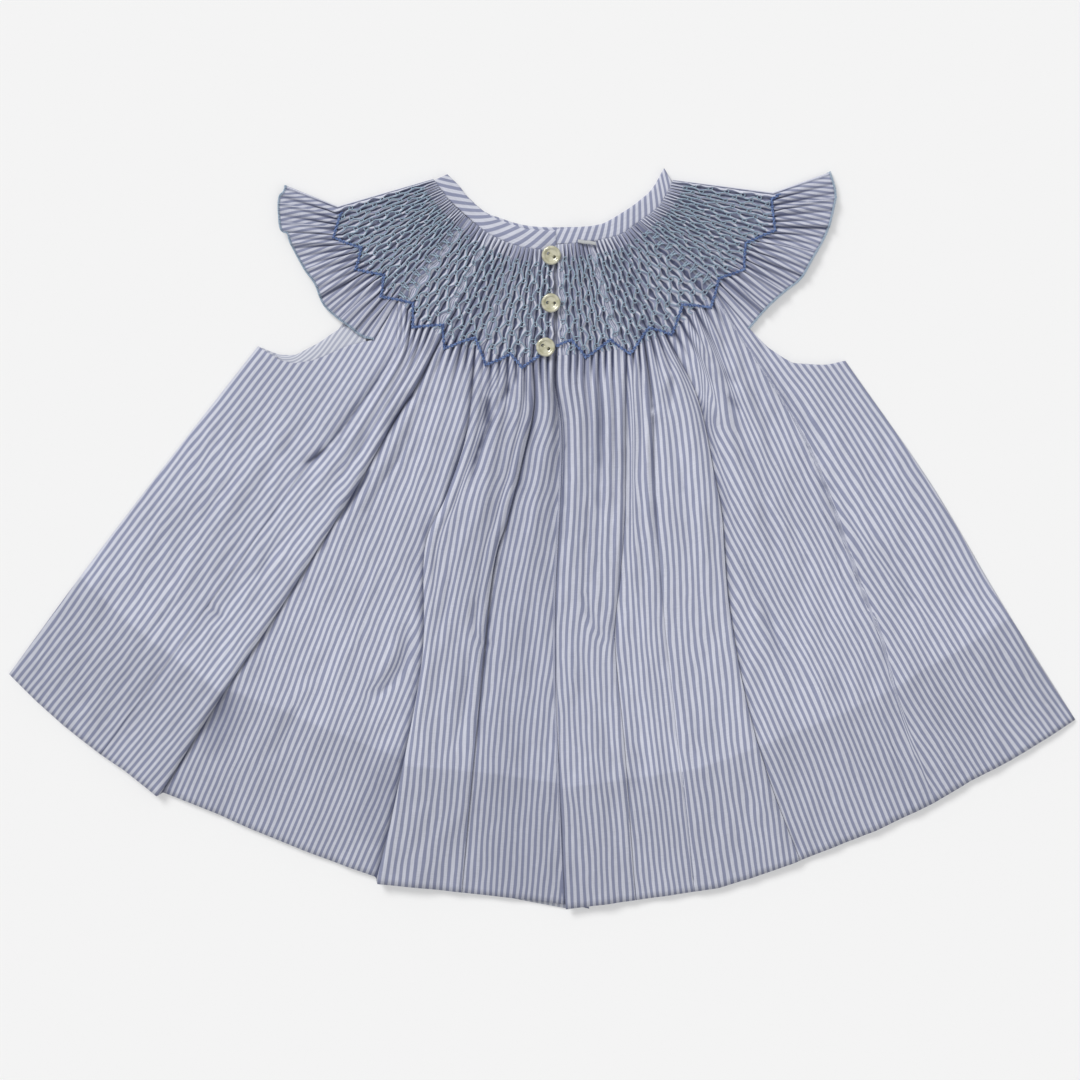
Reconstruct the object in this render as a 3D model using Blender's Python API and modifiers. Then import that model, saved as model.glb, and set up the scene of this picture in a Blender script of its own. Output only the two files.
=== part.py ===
"""A toddler's smocked dress with flutter sleeves, laid flat on its front so that its back shows.

The tables are in millimetres, in the dress's own frame: X runs to the right, Y towards the neck and Z up.
The front lies on the table with the two back pieces over it, and each sleeve is folded over at the shoulder.
"""

import math
from typing import NamedTuple

import bmesh
import bpy
import numpy as np
from mathutils import Matrix

MM = 0.001

# Layers, from the table up.
SEAM_GAP = 0.3  # between two pieces
FRONT_WALL = 1.5
BACK_WALL = 1.2
BACK_FLOOR = FRONT_WALL + SEAM_GAP  # underside of the back
FOLD_MIDDLE = FRONT_WALL + SEAM_GAP / 2  # where a layer turns over at the shoulder
LAP_LIFT = BACK_WALL + SEAM_GAP  # how much the right back is raised where it laps the left

# Smocking.
PLEAT_HEIGHT_NECK = 1.0
PLEAT_HEIGHT_YOKE = 2.2
PLEAT_SWAY = 0.2  # how far neighbouring pleats are drawn together, as a share of their pitch
YOKE_ROWS = (0.006, 0.16, 0.31, 0.46, 0.6, 0.74, 0.87)  # stitch rows, as a share of the yoke's depth
BACK_PLEATS = 23
SLEEVE_PLEATS = 13

# The skirt's crosswise rows: share of the way down, pleats to each gather there, and the gathers' height.
SKIRT_ROWS = (
    (0.0, 1, 2.3),
    (0.05, 1, 1.9),
    (0.11, 1, 1.6),
    (0.18, 2, 1.6),
    (0.26, 2, 1.3),
    (0.35, 4, 1.3),
    (0.45, 4, 1.0),
    (0.56, 4, 0.7),
    (0.68, 4, 0.5),
    (0.8, 4, 0.3),
    (0.9, 4, 0.2),
    (1.0, 4, 0.2),
)
PLAIN_COLUMNS = (0.25, 0.5, 0.75)  # where a stretch with no pleats has points, as shares of its width
FOLD_EDGE = 0.7  # half the width of the step at a fold's edge
FOLD_START = 0.12  # share of the skirt's length over which a fold rises from the smocking

# Trims.
BUTTON_RADIUS = 5.3
BUTTON_HEIGHT = 2.6
BUTTON_FLOOR = BACK_FLOOR + LAP_LIFT + BACK_WALL + PLEAT_HEIGHT_YOKE + SEAM_GAP
BUTTON_HOLE_RADIUS = 0.7
BUTTON_HOLE_SPACING = 3.4
BINDING_THICKNESS = 1.6
CURVE_SAMPLES = 12


class Path:
    """A plan curve through a few points, read by its share of length."""

    def __init__(self, points, smooth=True):
        points = np.array(points, float)
        if smooth and len(points) > 2:
            ends = np.vstack([2 * points[0] - points[1], points, 2 * points[-1] - points[-2]])
            dense = []
            for a, b, c, d in zip(ends, ends[1:], ends[2:], ends[3:]):
                for t in np.linspace(0, 1, CURVE_SAMPLES, endpoint=False):
                    bend = (2 * a - 5 * b + 4 * c - d) * t**2 + (3 * b - a - 3 * c + d) * t**3
                    dense.append(b + (c - a) * t / 2 + bend / 2)
            points = np.array(dense + [points[-1]])
        self.points = points
        steps = np.linalg.norm(np.diff(points, axis=0), axis=1)
        self.along = np.concatenate([[0], np.cumsum(steps)])

    def at(self, share):
        place = share * self.along[-1]
        return np.array([np.interp(place, self.along, self.points[:, k]) for k in (0, 1)])

    def share_near(self, point):
        nearest = np.linalg.norm(self.points - np.array(point, float), axis=1).argmin()
        return self.along[nearest] / self.along[-1]

    def part(self, low, high):
        """The same curve from one share of its length to another."""
        shares = np.linspace(low, high, 4 * CURVE_SAMPLES)
        return Path([self.at(s) for s in shares], smooth=False)

    def shifted(self, distance):
        """The curve moved sideways, to its left for a positive distance."""
        ahead = np.gradient(self.points, axis=0)
        ahead /= np.linalg.norm(ahead, axis=1)[:, None]
        left = np.stack([-ahead[:, 1], ahead[:, 0]], axis=1)
        return Path(self.points + distance * left, smooth=False)


class Fold(NamedTuple):
    """A lengthwise line of a back piece, from the smocking or the armhole down to the hem."""

    name: str
    path: tuple  # plan points, from top to hem
    towards_centre: tuple  # height of the cloth at top, middle and hem, on the centre's side
    towards_side: tuple  # the same on the side seam's side
    pleats: int  # smocked pleats from this line to the next
    lift: float = 0.0  # how far the whole cloth is raised over another piece


class Back(NamedTuple):
    """One back piece: its neck, smocking and armhole edges, its hem, and its folds from the centre out."""

    neck: tuple
    top: tuple
    hem: tuple
    folds: tuple


class Sleeve(NamedTuple):
    """One flutter sleeve: its curves run from the back seam to the shoulder fold."""

    neck: tuple
    smocking_end: tuple
    ruffle_edge: tuple
    under_smocking_end: tuple
    under_ruffle_edge: tuple


LEFT_HEM = (
    (26, -204), (12, -201.5), (-22, -197.5), (-61.5, -193), (-90.5, -190), (-91.5, -186.5), (-112.5, -179),
    (-131, -172), (-160.5, -160), (-180.5, -151), (-208.5, -140), (-211.5, -142), (-229.5, -128),
    (-243, -119), (-263, -103.5), (-277, -91), (-293.5, -75),
)
RIGHT_HEM = (
    (13, -204), (38, -201), (67.5, -197), (97, -192.5), (116.5, -186.5), (136.5, -179.5), (153, -173),
    (183.5, -161), (215, -146), (236, -133.5), (257.5, -122.5), (278, -110), (293.5, -100),
)
LEFT_SIDE = ((-156.5, 105.5), (-203, 46), (-248.5, -13.5), (-293.5, -75))
RIGHT_SIDE = ((167, 97.5), (214, 30), (252, -34), (293.5, -100))
CENTRE_BACK = (
    (7, 100), (7, 84.5), (10.5, 60.5), (10, 22.5), (7.5, -24.5), (7, -69.5), (8.5, -116.5), (12, -203),
)
UNDERLAP = ((20, 100), (21, 60.5), (22, 0), (23, -100), (26, -203))
RIGHT_LAP = ((24, 101), (26, 60.5), (27, 0), (29, -100), (33, -202))

LEFT_BACK = Back(
    neck=((14, 160.2), (7, 158.2), (-8.5, 159.5), (-19, 162.5), (-27, 166), (-34, 170.5), (-41.5, 176.5)),
    top=(
        (20, 100), (7, 100), (-17.5, 99), (-37, 103.5), (-54.5, 110.5), (-71, 122.5), (-79.5, 131),
        (-86.5, 118.5), (-93, 109), (-107.5, 105.5), (-118.5, 100.5), (-126.5, 97.5), (-136.5, 96),
        (-143.5, 97.5), (-149, 101), (-156.5, 105.5),
    ),
    hem=LEFT_HEM,
    folds=(
        Fold(
            "underlap",
            UNDERLAP,
            towards_centre=(0, 0, 0), towards_side=(0, 0, 0), pleats=0,
        ),
        Fold(
            "centre_back",
            CENTRE_BACK,
            towards_centre=(0, 0, 0), towards_side=(0, 0, 0), pleats=3,
        ),
        Fold(
            "inner_crease",
            ((-5, 98), (-4.5, 71.5), (-11.5, 39.5), (-19, 10), (-27.5, -22), (-37.5, -122), (-44, -195)),
            towards_centre=(0.4, 0.4, 0.5), towards_side=(2.6, 3.2, 1.2), pleats=7,
        ),
        Fold(
            "inner_fold",
            (
                (-37, 103.5), (-41, 59.5), (-52.5, 23.5), (-64.5, -6.5),
                (-66, -67), (-80.5, -143.5), (-91, -188),
            ),
            towards_centre=(3.0, 4.2, 3.6), towards_side=(1.2, 0.6, 0.4), pleats=3,
        ),
        Fold(
            "soft_ridge",
            ((-48, 107), (-62, 75), (-84, 20), (-110, -50), (-140, -120), (-160.5, -160)),
            towards_centre=(1.5, 2.4, 1.6), towards_side=(1.5, 2.4, 1.6), pleats=2,
        ),
        Fold(
            "long_fold",
            (
                (-55, 110.7), (-68.5, 84.5), (-81, 65), (-102.5, 27), (-124.5, -8),
                (-148, -45), (-176.5, -87.5), (-210, -141),
            ),
            towards_centre=(1.0, 0.5, 0.3), towards_side=(3.0, 4.8, 2.6), pleats=8,
        ),
        Fold(
            "raglan_crease",
            (
                (-79.5, 131), (-81, 105.5), (-92.5, 84.5), (-113, 57), (-130.5, 38.5),
                (-166, -12), (-207.5, -70), (-243, -119),
            ),
            towards_centre=(1.0, 1.2, 0.5), towards_side=(1.0, 1.2, 0.5), pleats=0,
        ),
        Fold(
            "underarm",
            ((-93, 109), (-126, 60), (-172, -4), (-218, -66), (-253, -111.5)),
            towards_centre=(0.8, 2.2, 1.0), towards_side=(0.8, 2.2, 1.0), pleats=0,
        ),
        Fold(
            "armhole_ridge",
            ((-126.5, 97.5), (-157, 52), (-196, 0), (-234, -53), (-270, -97.5)),
            towards_centre=(0.4, 2.6, 1.6), towards_side=(0.4, 2.6, 1.6), pleats=0,
        ),
        Fold(
            "side_seam",
            LEFT_SIDE,
            towards_centre=(0.2, 0.3, 0.2), towards_side=(0.2, 0.3, 0.2), pleats=0,
        ),
    ),
)
RIGHT_BACK = Back(
    neck=((8, 161.2), (19, 162), (32.5, 164), (43, 167), (52, 173)),
    top=(
        (8, 100), (24, 101), (48.5, 104.5), (71, 113), (85, 125.5), (95.5, 136.5), (106, 124), (113.5, 115.5),
        (124.5, 104.5), (133.5, 98.5), (138.5, 96), (144.5, 95.5), (156, 95), (167, 97.5),
    ),
    hem=RIGHT_HEM,
    folds=(
        Fold(
            "centre_back",
            tuple((x + 0.9, y) for x, y in CENTRE_BACK),
            towards_centre=(0.4, 0.6, 0.6), towards_side=(0.4, 0.6, 0.6), pleats=4, lift=LAP_LIFT,
        ),
        Fold(
            "lap",
            RIGHT_LAP,
            towards_centre=(0.2, 0.4, 0.4), towards_side=(0.2, 0.4, 0.4), pleats=6, lift=LAP_LIFT,
        ),
        Fold(
            "inner_crease",
            ((46.5, 104), (46, 59.5), (45.5, 15.5), (43, -21.5), (40, -56), (45.5, -116.5), (51.5, -199)),
            towards_centre=(2.4, 3.2, 1.2), towards_side=(1.4, 1.6, 0.6), pleats=3,
        ),
        Fold(
            "pucker",
            ((56.5, 107), (61, 70.5), (62, 27.5), (66.5, -38), (71.5, -86), (83.5, -195)),
            towards_centre=(0.6, 0.8, 0.6), towards_side=(0.6, 0.8, 0.6), pleats=3,
        ),
        Fold(
            "inner_fold",
            (
                (68, 111.5), (85.5, 76.5), (94.5, 36), (99, 11), (102.5, -34),
                (111, -83.5), (124, -130.5), (142, -177.5),
            ),
            towards_centre=(2.6, 3.4, 1.6), towards_side=(1.2, 1.0, 0.6), pleats=5,
        ),
        Fold(
            "soft_ridge",
            ((88, 129), (107.5, 90.5), (122.5, 59.5), (142, 10), (161, -56), (173.5, -100), (194, -156.5)),
            towards_centre=(2.0, 3.0, 1.4), towards_side=(2.0, 3.0, 1.4), pleats=2,
        ),
        Fold(
            "raglan_crease",
            ((95.5, 136.5), (116, 98), (131, 62), (151, 25), (172, -50), (204, -151)),
            towards_centre=(1.0, 1.8, 1.0), towards_side=(1.0, 1.8, 1.0), pleats=0,
        ),
        Fold(
            "underarm",
            (
                (113.5, 115.5), (124.5, 92.5), (140, 67.5), (157.5, 35.5), (168, -6),
                (180.5, -36.5), (193, -86.5), (215, -146),
            ),
            towards_centre=(0.6, 0.6, 0.4), towards_side=(0.8, 2.4, 0.8), pleats=0,
        ),
        Fold(
            "armhole_ridge",
            ((144.5, 95.5), (186, 30), (232, -42), (276, -111)),
            towards_centre=(0.4, 2.4, 1.4), towards_side=(0.4, 2.4, 1.4), pleats=0,
        ),
        Fold(
            "side_seam",
            RIGHT_SIDE,
            towards_centre=(0.2, 0.3, 0.2), towards_side=(0.2, 0.3, 0.2), pleats=0,
        ),
    ),
)
LEFT_SLEEVE = Sleeve(
    neck=((-41.9, 176.9), (-50, 184.5), (-55.5, 191.5), (-60, 197.5)),
    smocking_end=((-79.9, 131.3), (-93.5, 146), (-107, 162), (-112.5, 172.5), (-112.5, 182.5)),
    ruffle_edge=(
        (-93.5, 109.3), (-99.5, 111), (-106.5, 116.5), (-113, 121), (-120.5, 128.5), (-125, 139.5),
        (-131, 148), (-138.5, 162), (-143.5, 169), (-145, 177.5), (-145, 187.5), (-140.5, 194),
    ),
    under_smocking_end=((-79.9, 135), (-93.5, 147), (-107, 162), (-112.5, 172.5), (-112.5, 182.5)),
    under_ruffle_edge=(
        (-98, 129), (-110, 131), (-118, 136), (-125, 145), (-134, 160), (-141, 172), (-142, 186),
        (-140.5, 194),
    ),
)
RIGHT_SLEEVE = Sleeve(
    neck=((52.4, 173.4), (62.5, 181), (68, 188.5), (72, 197)),
    smocking_end=((95.9, 136.9), (105, 148.5), (118, 162.5), (126.5, 177.5), (127, 190)),
    ruffle_edge=(
        (114, 116), (123.5, 127), (133.5, 136), (142, 143), (149, 155), (154, 163.5), (157.5, 172),
        (160.5, 184.5), (160.8, 191), (158, 201),
    ),
    under_smocking_end=((95.9, 136.9), (105, 148.5), (118, 162.5), (126.5, 177.5), (127, 190)),
    under_ruffle_edge=(
        (112.2, 119.5), (122, 130), (132, 138), (140, 145), (147, 156), (155, 173), (158, 186), (158, 201),
    ),
)
FRONT_NECK = (
    (-60, 197.9), (-55, 192), (-49.5, 185), (-41.3, 177.3), (-33, 170.8), (-20, 165), (0, 162.5), (20, 163),
    (36, 166), (51.8, 174), (61.9, 181.7), (67.3, 189.2), (71.4, 197.5),
)
FRONT_NECK_EDGE = (
    (-53, 200.8), (-44, 191), (-32.5, 180.3), (-24, 176.5), (-12, 172.7), (0, 171.2), (14, 171.2),
    (27, 171.8), (39, 175.5), (54, 186), (61, 193), (67.5, 204.4),
)
FRONT_LEFT_ARMHOLE = (
    (-97.5, 127.5), (-104.5, 124), (-109.5, 118.5), (-114, 113), (-123, 107.5), (-129.5, 104), (-135.5, 101),
    (-141, 100.7), (-146.5, 101.5), (-156.5, 105.5),
)
FRONT_RIGHT_ARMHOLE = (
    (111.8, 118), (124.3, 104.8), (133.3, 98.8), (138.5, 96.4), (144.5, 95.9), (156, 95.4), (167, 97.5),
)
BACK_NECK_EDGE_LEFT = (
    (14, 168.6), (6.5, 169.3), (-8.5, 170), (-15, 172), (-28, 177), (-39, 185.5), (-46, 194), (-53, 200.8),
)
BACK_NECK_SEAM_LEFT = (
    (14, 160.8), (5, 158.8), (-8.5, 159.8), (-19, 162.9), (-27, 166.5), (-34, 171), (-49.6, 185),
    (-55.2, 192), (-60, 197.7),
)
BACK_NECK_EDGE_RIGHT = (
    (7.5, 169.5), (22, 171), (32.5, 172.5), (46.5, 180.5), (54, 186), (61.5, 193), (67.5, 204.4),
)
BACK_NECK_SEAM_RIGHT = (
    (7.5, 161.8), (19, 162.3), (32.5, 164.3), (43, 167.3), (52, 173.3), (62.5, 181.3), (68, 188.8), (72, 197),
)
FACING_FRONT_EDGE = (
    (-113, 114), (-123, 107.2), (-129.5, 103.7), (-135.5, 100.7), (-141, 100.4), (-146, 101.2),
)
FACING_BACK_EDGE = (
    (-112.5, 104.4), (-118.5, 101.7), (-126.5, 98.7), (-136.5, 97.1), (-143.5, 98.7), (-146.6, 100.4),
)
# A button's x, y, the turn of its holes, and how far its bed of pleats lies below full pleats.
BUTTON_PLACES = ((5.0, 155.0, 60, 1.7), (4.8, 128.7, 85, 0), (1.9, 104.6, 60, 1.4))
TAB_CENTRE = (24.6, 162.2)
TAB_SIZE = (10.2, 1.9, 0.8)
TAB_TURN = -8
TAB_FLOOR = BACK_FLOOR + LAP_LIFT + BINDING_THICKNESS + 0.5


class Cloth:
    """A closed wall of cloth that is built row by row, each row with an outer and an inner line."""

    def __init__(self, name):
        self.name = name
        self.mesh = bmesh.new()

    def row(self, points, places):
        """A line of vertices, each with its place along the line, which the bands match."""
        verts = [self.mesh.verts.new([c * MM for c in p]) for p in points]
        return list(zip(verts, places))

    def band(self, first, second):
        """Triangles between two lines, whatever their numbers of points."""
        i, j = 0, 0
        while i < len(first) - 1 or j < len(second) - 1:
            last_i, last_j = i == len(first) - 1, j == len(second) - 1
            step_first = last_j or (not last_i and first[i + 1][1] <= second[j + 1][1])
            if step_first:
                self.mesh.faces.new((first[i][0], first[i + 1][0], second[j][0]))
                i += 1
            else:
                self.mesh.faces.new((first[i][0], second[j + 1][0], second[j][0]))
                j += 1

    def edge(self, rows, at):
        """Closes one side of the wall between its outer and inner lines."""
        outer = [(outer[at][0], k) for k, (outer, _) in enumerate(rows)]
        inner = [(inner[at][0], k) for k, (_, inner) in enumerate(rows)]
        self.band(outer, inner)

    def loft(self, rows, close_ends=True):
        for (outer_a, inner_a), (outer_b, inner_b) in zip(rows, rows[1:]):
            self.band(outer_a, outer_b)
            self.band(inner_a, inner_b)
        self.edge(rows, 0)
        self.edge(rows, -1)
        if close_ends:
            self.band(*rows[0])
            self.band(*rows[-1])

    def finish(self, finish):
        bmesh.ops.recalc_face_normals(self.mesh, faces=self.mesh.faces)
        return add_object(self.name, self.mesh, finish)


def add_object(name, mesh, finish):
    """A bmesh as a named object with its material."""
    data = bpy.data.meshes.new(name)
    mesh.to_mesh(data)
    mesh.free()
    obj = bpy.data.objects.new(name, data)
    data.materials.append(finish)
    bpy.data.collections["toddler_dress"].objects.link(obj)
    return obj


def material(name, colour, roughness, metallic=0.0):
    made = bpy.data.materials.new(name)
    made.use_nodes = True
    shader = made.node_tree.nodes["Principled BSDF"]
    shader.inputs["Base Color"].default_value = (*colour, 1)
    shader.inputs["Roughness"].default_value = roughness
    shader.inputs["Metallic"].default_value = metallic
    made.diffuse_color = (*colour, 1)
    return made


def smooth_step(t):
    t = min(max(t, 0.0), 1.0)
    return t * t * (3 - 2 * t)


def height_at(heights, share):
    """A fold's height between its top, middle and hem values. The smocking holds the cloth flat above it."""
    return float(np.interp(share, (0, 0.5, 1), heights)) * smooth_step(share / FOLD_START)


class BackLayout:
    """Where each column of a back piece lies, in plan, at any row."""

    def __init__(self, piece):
        self.piece = piece
        self.paths = [Path(fold.path) for fold in piece.folds]
        self.neck = Path(piece.neck)
        self.top = Path(piece.top, smooth=False)
        self.hem = Path(piece.hem, smooth=False)
        self.top_shares = [self.top.share_near(fold.path[0]) for fold in piece.folds]
        self.hem_shares = [self.hem.share_near(fold.path[-1]) for fold in piece.folds]
        self.pleats_before = [sum(fold.pleats for fold in piece.folds[:i]) for i in range(len(piece.folds))]
        # Plain strips beside the smocking, such as an underlap, have neck positions of their own.
        smocked = [i for i, fold in enumerate(piece.folds) if fold.pleats]
        self.first_smocked, self.last_smocked = smocked[0], smocked[-1] + 1
        start = self.neck.share_near((piece.folds[self.first_smocked].path[0][0], self.neck.at(0)[1]))
        self.neck_shares = []
        for i, before in enumerate(self.pleats_before):
            along = before / BACK_PLEATS
            self.neck_shares.append(0.0 if i < self.first_smocked else start + (1 - start) * along)

    def skirt(self, i, t, share):
        """A point of the skirt, t of the way from fold i to the next one."""
        ruled = (1 - t) * self.paths[i].at(share) + t * self.paths[i + 1].at(share)
        flat_top = (1 - t) * self.paths[i].at(0) + t * self.paths[i + 1].at(0)
        flat_hem = (1 - t) * self.paths[i].at(1) + t * self.paths[i + 1].at(1)
        top = self.top.at((1 - t) * self.top_shares[i] + t * self.top_shares[i + 1])
        hem = self.hem.at((1 - t) * self.hem_shares[i] + t * self.hem_shares[i + 1])
        return ruled + (1 - share) ** 4 * (top - flat_top) + share**4 * (hem - flat_hem)

    def yoke(self, i, t, share):
        """The same in the yoke, whose share runs from the neck seam to the last row of smocking."""
        neck = self.neck.at((1 - t) * self.neck_shares[i] + t * self.neck_shares[i + 1])
        return (1 - share) * neck + share * self.skirt(i, t, 0)


def columns_between(pleats_before, pleats, period):
    """Shares of the way from one fold to the next where a row has points, without the two ends."""
    if not pleats:
        return PLAIN_COLUMNS
    half = period / 2
    first = math.floor(pleats_before / half) + 1
    found = []
    while first * half < pleats_before + pleats - 1e-6:
        found.append((first * half - pleats_before) / pleats)
        first += 1
    return tuple(found) or (0.5,)


def gather_height(pleat, period, height):
    return height * (1 - math.cos(2 * math.pi * pleat / period)) / 2


def back_row(cloth, layout, place, share, period, pleat_height, row_number, last_fold, plain_inside):
    """One crosswise row of a back piece, as its outer and inner lines."""
    folds = layout.piece.folds
    in_yoke = place == layout.yoke
    outer, inner, places = [], [], []
    for i in range(last_fold):
        here, following = folds[i], folds[i + 1]
        start = 0.0 if in_yoke else height_at(here.towards_side, share)
        end = 0.0 if in_yoke else height_at(following.towards_centre, share)
        width = max(np.linalg.norm(place(i, 1, share) - place(i, 0, share)), 4 * FOLD_EDGE)
        inset = FOLD_EDGE / width
        columns = columns_between(layout.pleats_before[i], here.pleats, period)
        steps = [t for t in columns if 2 * inset < t < 1 - 2 * inset]
        split_start = i and not in_yoke and here.towards_side != here.towards_centre
        split_end = not in_yoke and following.towards_side != following.towards_centre
        steps = [inset if split_start else 0.0, *steps]
        if split_end:
            steps.append(1 - inset)
        elif i == last_fold - 1:
            steps.append(1.0)
        for t in steps:
            pleat = layout.pleats_before[i] + t * here.pleats
            rise = start + (end - start) * smooth_step(t)
            ripple = gather_height(pleat, period, pleat_height) if here.pleats else 0.0
            shown = t
            if in_yoke and here.pleats and ripple > pleat_height / 2:
                shown += PLEAT_SWAY / here.pleats * (-1) ** (math.floor(pleat) + row_number)
            x, y = place(i, shown, share)
            lift = here.lift + (following.lift - here.lift) * smooth_step(t)
            floor = BACK_FLOOR + lift
            outer.append((x, y, floor + BACK_WALL + rise + ripple))
            inner.append((x, y, floor + (0 if plain_inside else rise + 0.6 * ripple)))
            places.append(i + t)
    outer_row = cloth.row(outer, places)
    if plain_inside:
        kept = [k for k, p in enumerate(places) if abs(p - round(p)) < 1e-6]
        return outer_row, cloth.row([inner[k] for k in kept], [places[k] for k in kept])
    # The inside keeps clear of a fold's edge, so that the wall stays thick where it steps down.
    lowered = []
    for k, (x, y, z) in enumerate(inner):
        beside = [p[2] for p in inner[max(k - 1, 0) : k + 2] if math.dist(p[:2], (x, y)) < 3 * FOLD_EDGE]
        lowered.append((x, y, min(beside, default=z)))
    return outer_row, cloth.row(lowered, places)


def build_back(name, piece, finish):
    cloth = Cloth(name)
    layout = BackLayout(piece)
    last = len(piece.folds) - 1
    yoke = []
    for number, share in enumerate(YOKE_ROWS):
        height = PLEAT_HEIGHT_NECK if number == 0 else PLEAT_HEIGHT_YOKE
        yoke.append(back_row(cloth, layout, layout.yoke, share, 1, height, number, layout.last_smocked, True))
    skirt = []
    for number, (share, period, height) in enumerate(SKIRT_ROWS):
        skirt.append(back_row(cloth, layout, layout.skirt, share, period, height, number, last, False))
    # The yoke meets the smocked stretch of the skirt's first row. The rest of that row is the armhole's edge.
    outer, inner = skirt[0]
    split_outer = next(k for k, (_, place) in enumerate(outer) if place >= layout.last_smocked)
    split_inner = next(k for k, (_, place) in enumerate(inner) if place >= layout.last_smocked)
    joined = (outer[: split_outer + 1], inner[: split_inner + 1])
    cloth.loft([*yoke, joined], close_ends=False)
    cloth.band(*yoke[0])
    cloth.loft(skirt, close_ends=False)
    cloth.band(*skirt[-1])
    cloth.band(outer[split_outer:], inner[split_inner:])
    return cloth.finish(finish)


def build_sleeve(name, piece, finish):
    """A sleeve with its back half on top, turned over at the shoulder to lie on its front half."""
    cloth = Cloth(name)
    neck, smocked, ruffle = Path(piece.neck), Path(piece.smocking_end), Path(piece.ruffle_edge)
    under_smocked, under_ruffle = Path(piece.under_smocking_end), Path(piece.under_ruffle_edge)
    rows = []
    stations = [(neck, smocked, neck, under_smocked, share, number) for number, share in enumerate(YOKE_ROWS)]
    stations += [(smocked, ruffle, under_smocked, under_ruffle, share, 99) for share in (0, 0.33, 0.66, 1)]
    for above, below, under_above, under_below, share, number in stations:
        def over(t):
            return (1 - share) * above.at(t) + share * below.at(t)

        def under(t):
            return (1 - share) * under_above.at(t) + share * under_below.at(t)

        height = PLEAT_HEIGHT_NECK if number == 0 else PLEAT_HEIGHT_YOKE
        turn = 0.95  # where the top layer starts to turn over
        outer, places = [], []
        for k in range(2 * SLEEVE_PLEATS + 1):
            pleat = k / 2
            ripple = gather_height(pleat, 1, height)
            sway = PLEAT_SWAY * (-1) ** (math.floor(pleat) + number) if ripple and number != 99 else 0
            x, y = over(turn * (pleat + sway) / SLEEVE_PLEATS)
            outer.append((x, y, BACK_FLOOR + BACK_WALL + ripple))
            places.append(turn * pleat / SLEEVE_PLEATS)
        outer.append((*over(1), FOLD_MIDDLE))
        places.append(1)
        for t in (0.97, 0.75, 0.5, 0.25, 0):
            outer.append((*under(t), 0))
            places.append(2 - t)
        inner, inner_places = [], []
        for t in (0, 0.25, 0.5, 0.75, 0.88):
            inner.append((*over(t), BACK_FLOOR))
            inner_places.append(t)
        inner.append((*over(0.93), FOLD_MIDDLE))
        inner_places.append(1)
        for t in (0.88, 0.75, 0.5, 0.25, 0):
            inner.append((*under(t), FRONT_WALL))
            inner_places.append(2 - t)
        rows.append((cloth.row(outer, places), cloth.row(inner, inner_places)))
    cloth.loft(rows)
    return cloth.finish(finish)


def outline_slab(name, outline, floor, thickness, finish):
    """A flat piece of cloth with the given plan outline."""
    curve = bpy.data.curves.new(name, "CURVE")
    curve.dimensions = "2D"
    curve.fill_mode = "BOTH"
    curve.extrude = thickness / 2 * MM
    line = curve.splines.new("POLY")
    line.points.add(len(outline) - 1)
    for point, (x, y) in zip(line.points, outline):
        point.co = (x * MM, y * MM, 0, 1)
    line.use_cyclic_u = True
    obj = bpy.data.objects.new(name, curve)
    obj.location.z = (floor + thickness / 2) * MM
    curve.materials.append(finish)
    bpy.data.collections["toddler_dress"].objects.link(obj)
    return obj


def sampled(path, count):
    return [tuple(path.at(t)) for t in np.linspace(0, 1, count)]


def build_front(finish):
    """The front, face down: its smocking is pressed flat on the table."""
    neck = Path(FRONT_NECK)
    left, right = neck.share_near((-41.3, 177.3)), neck.share_near((51.8, 174))
    outline = sampled(neck.part(left, right).shifted(-SEAM_GAP), 12)
    outline += [(95.1, 136.1), (111.5, 118.3)]
    outline += sampled(Path(FRONT_RIGHT_ARMHOLE), 10)[1:]
    outline += sampled(Path(RIGHT_SIDE), 4)[1:]
    outline += list(RIGHT_HEM[::-1])[1:]
    outline += [p for p in LEFT_HEM if p[0] < 0]
    outline += sampled(Path(LEFT_SIDE[::-1]), 4)[1:]
    outline += sampled(Path(FRONT_LEFT_ARMHOLE[::-1]), 14)[1:]
    outline += [(-79.5, 134.3)]
    return outline_slab("front", outline, 0, FRONT_WALL, finish)


def binding_section(edge, seam, inside, outside, crown):
    """Five points round the binding: its neck edge, its crowned face and its seam edge."""
    edge, seam = np.array(edge), np.array(seam)
    across = seam - edge
    shoulder = inside + 0.7 * (outside - inside) if crown else outside
    outer = [
        (*(edge + 0.04 * across), shoulder),
        (*(edge + 0.5 * across), outside),
        (*seam, shoulder),
    ]
    inner = [(*edge, inside), (*(edge + 0.5 * across), inside), (*seam, inside)]
    return outer, inner


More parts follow.
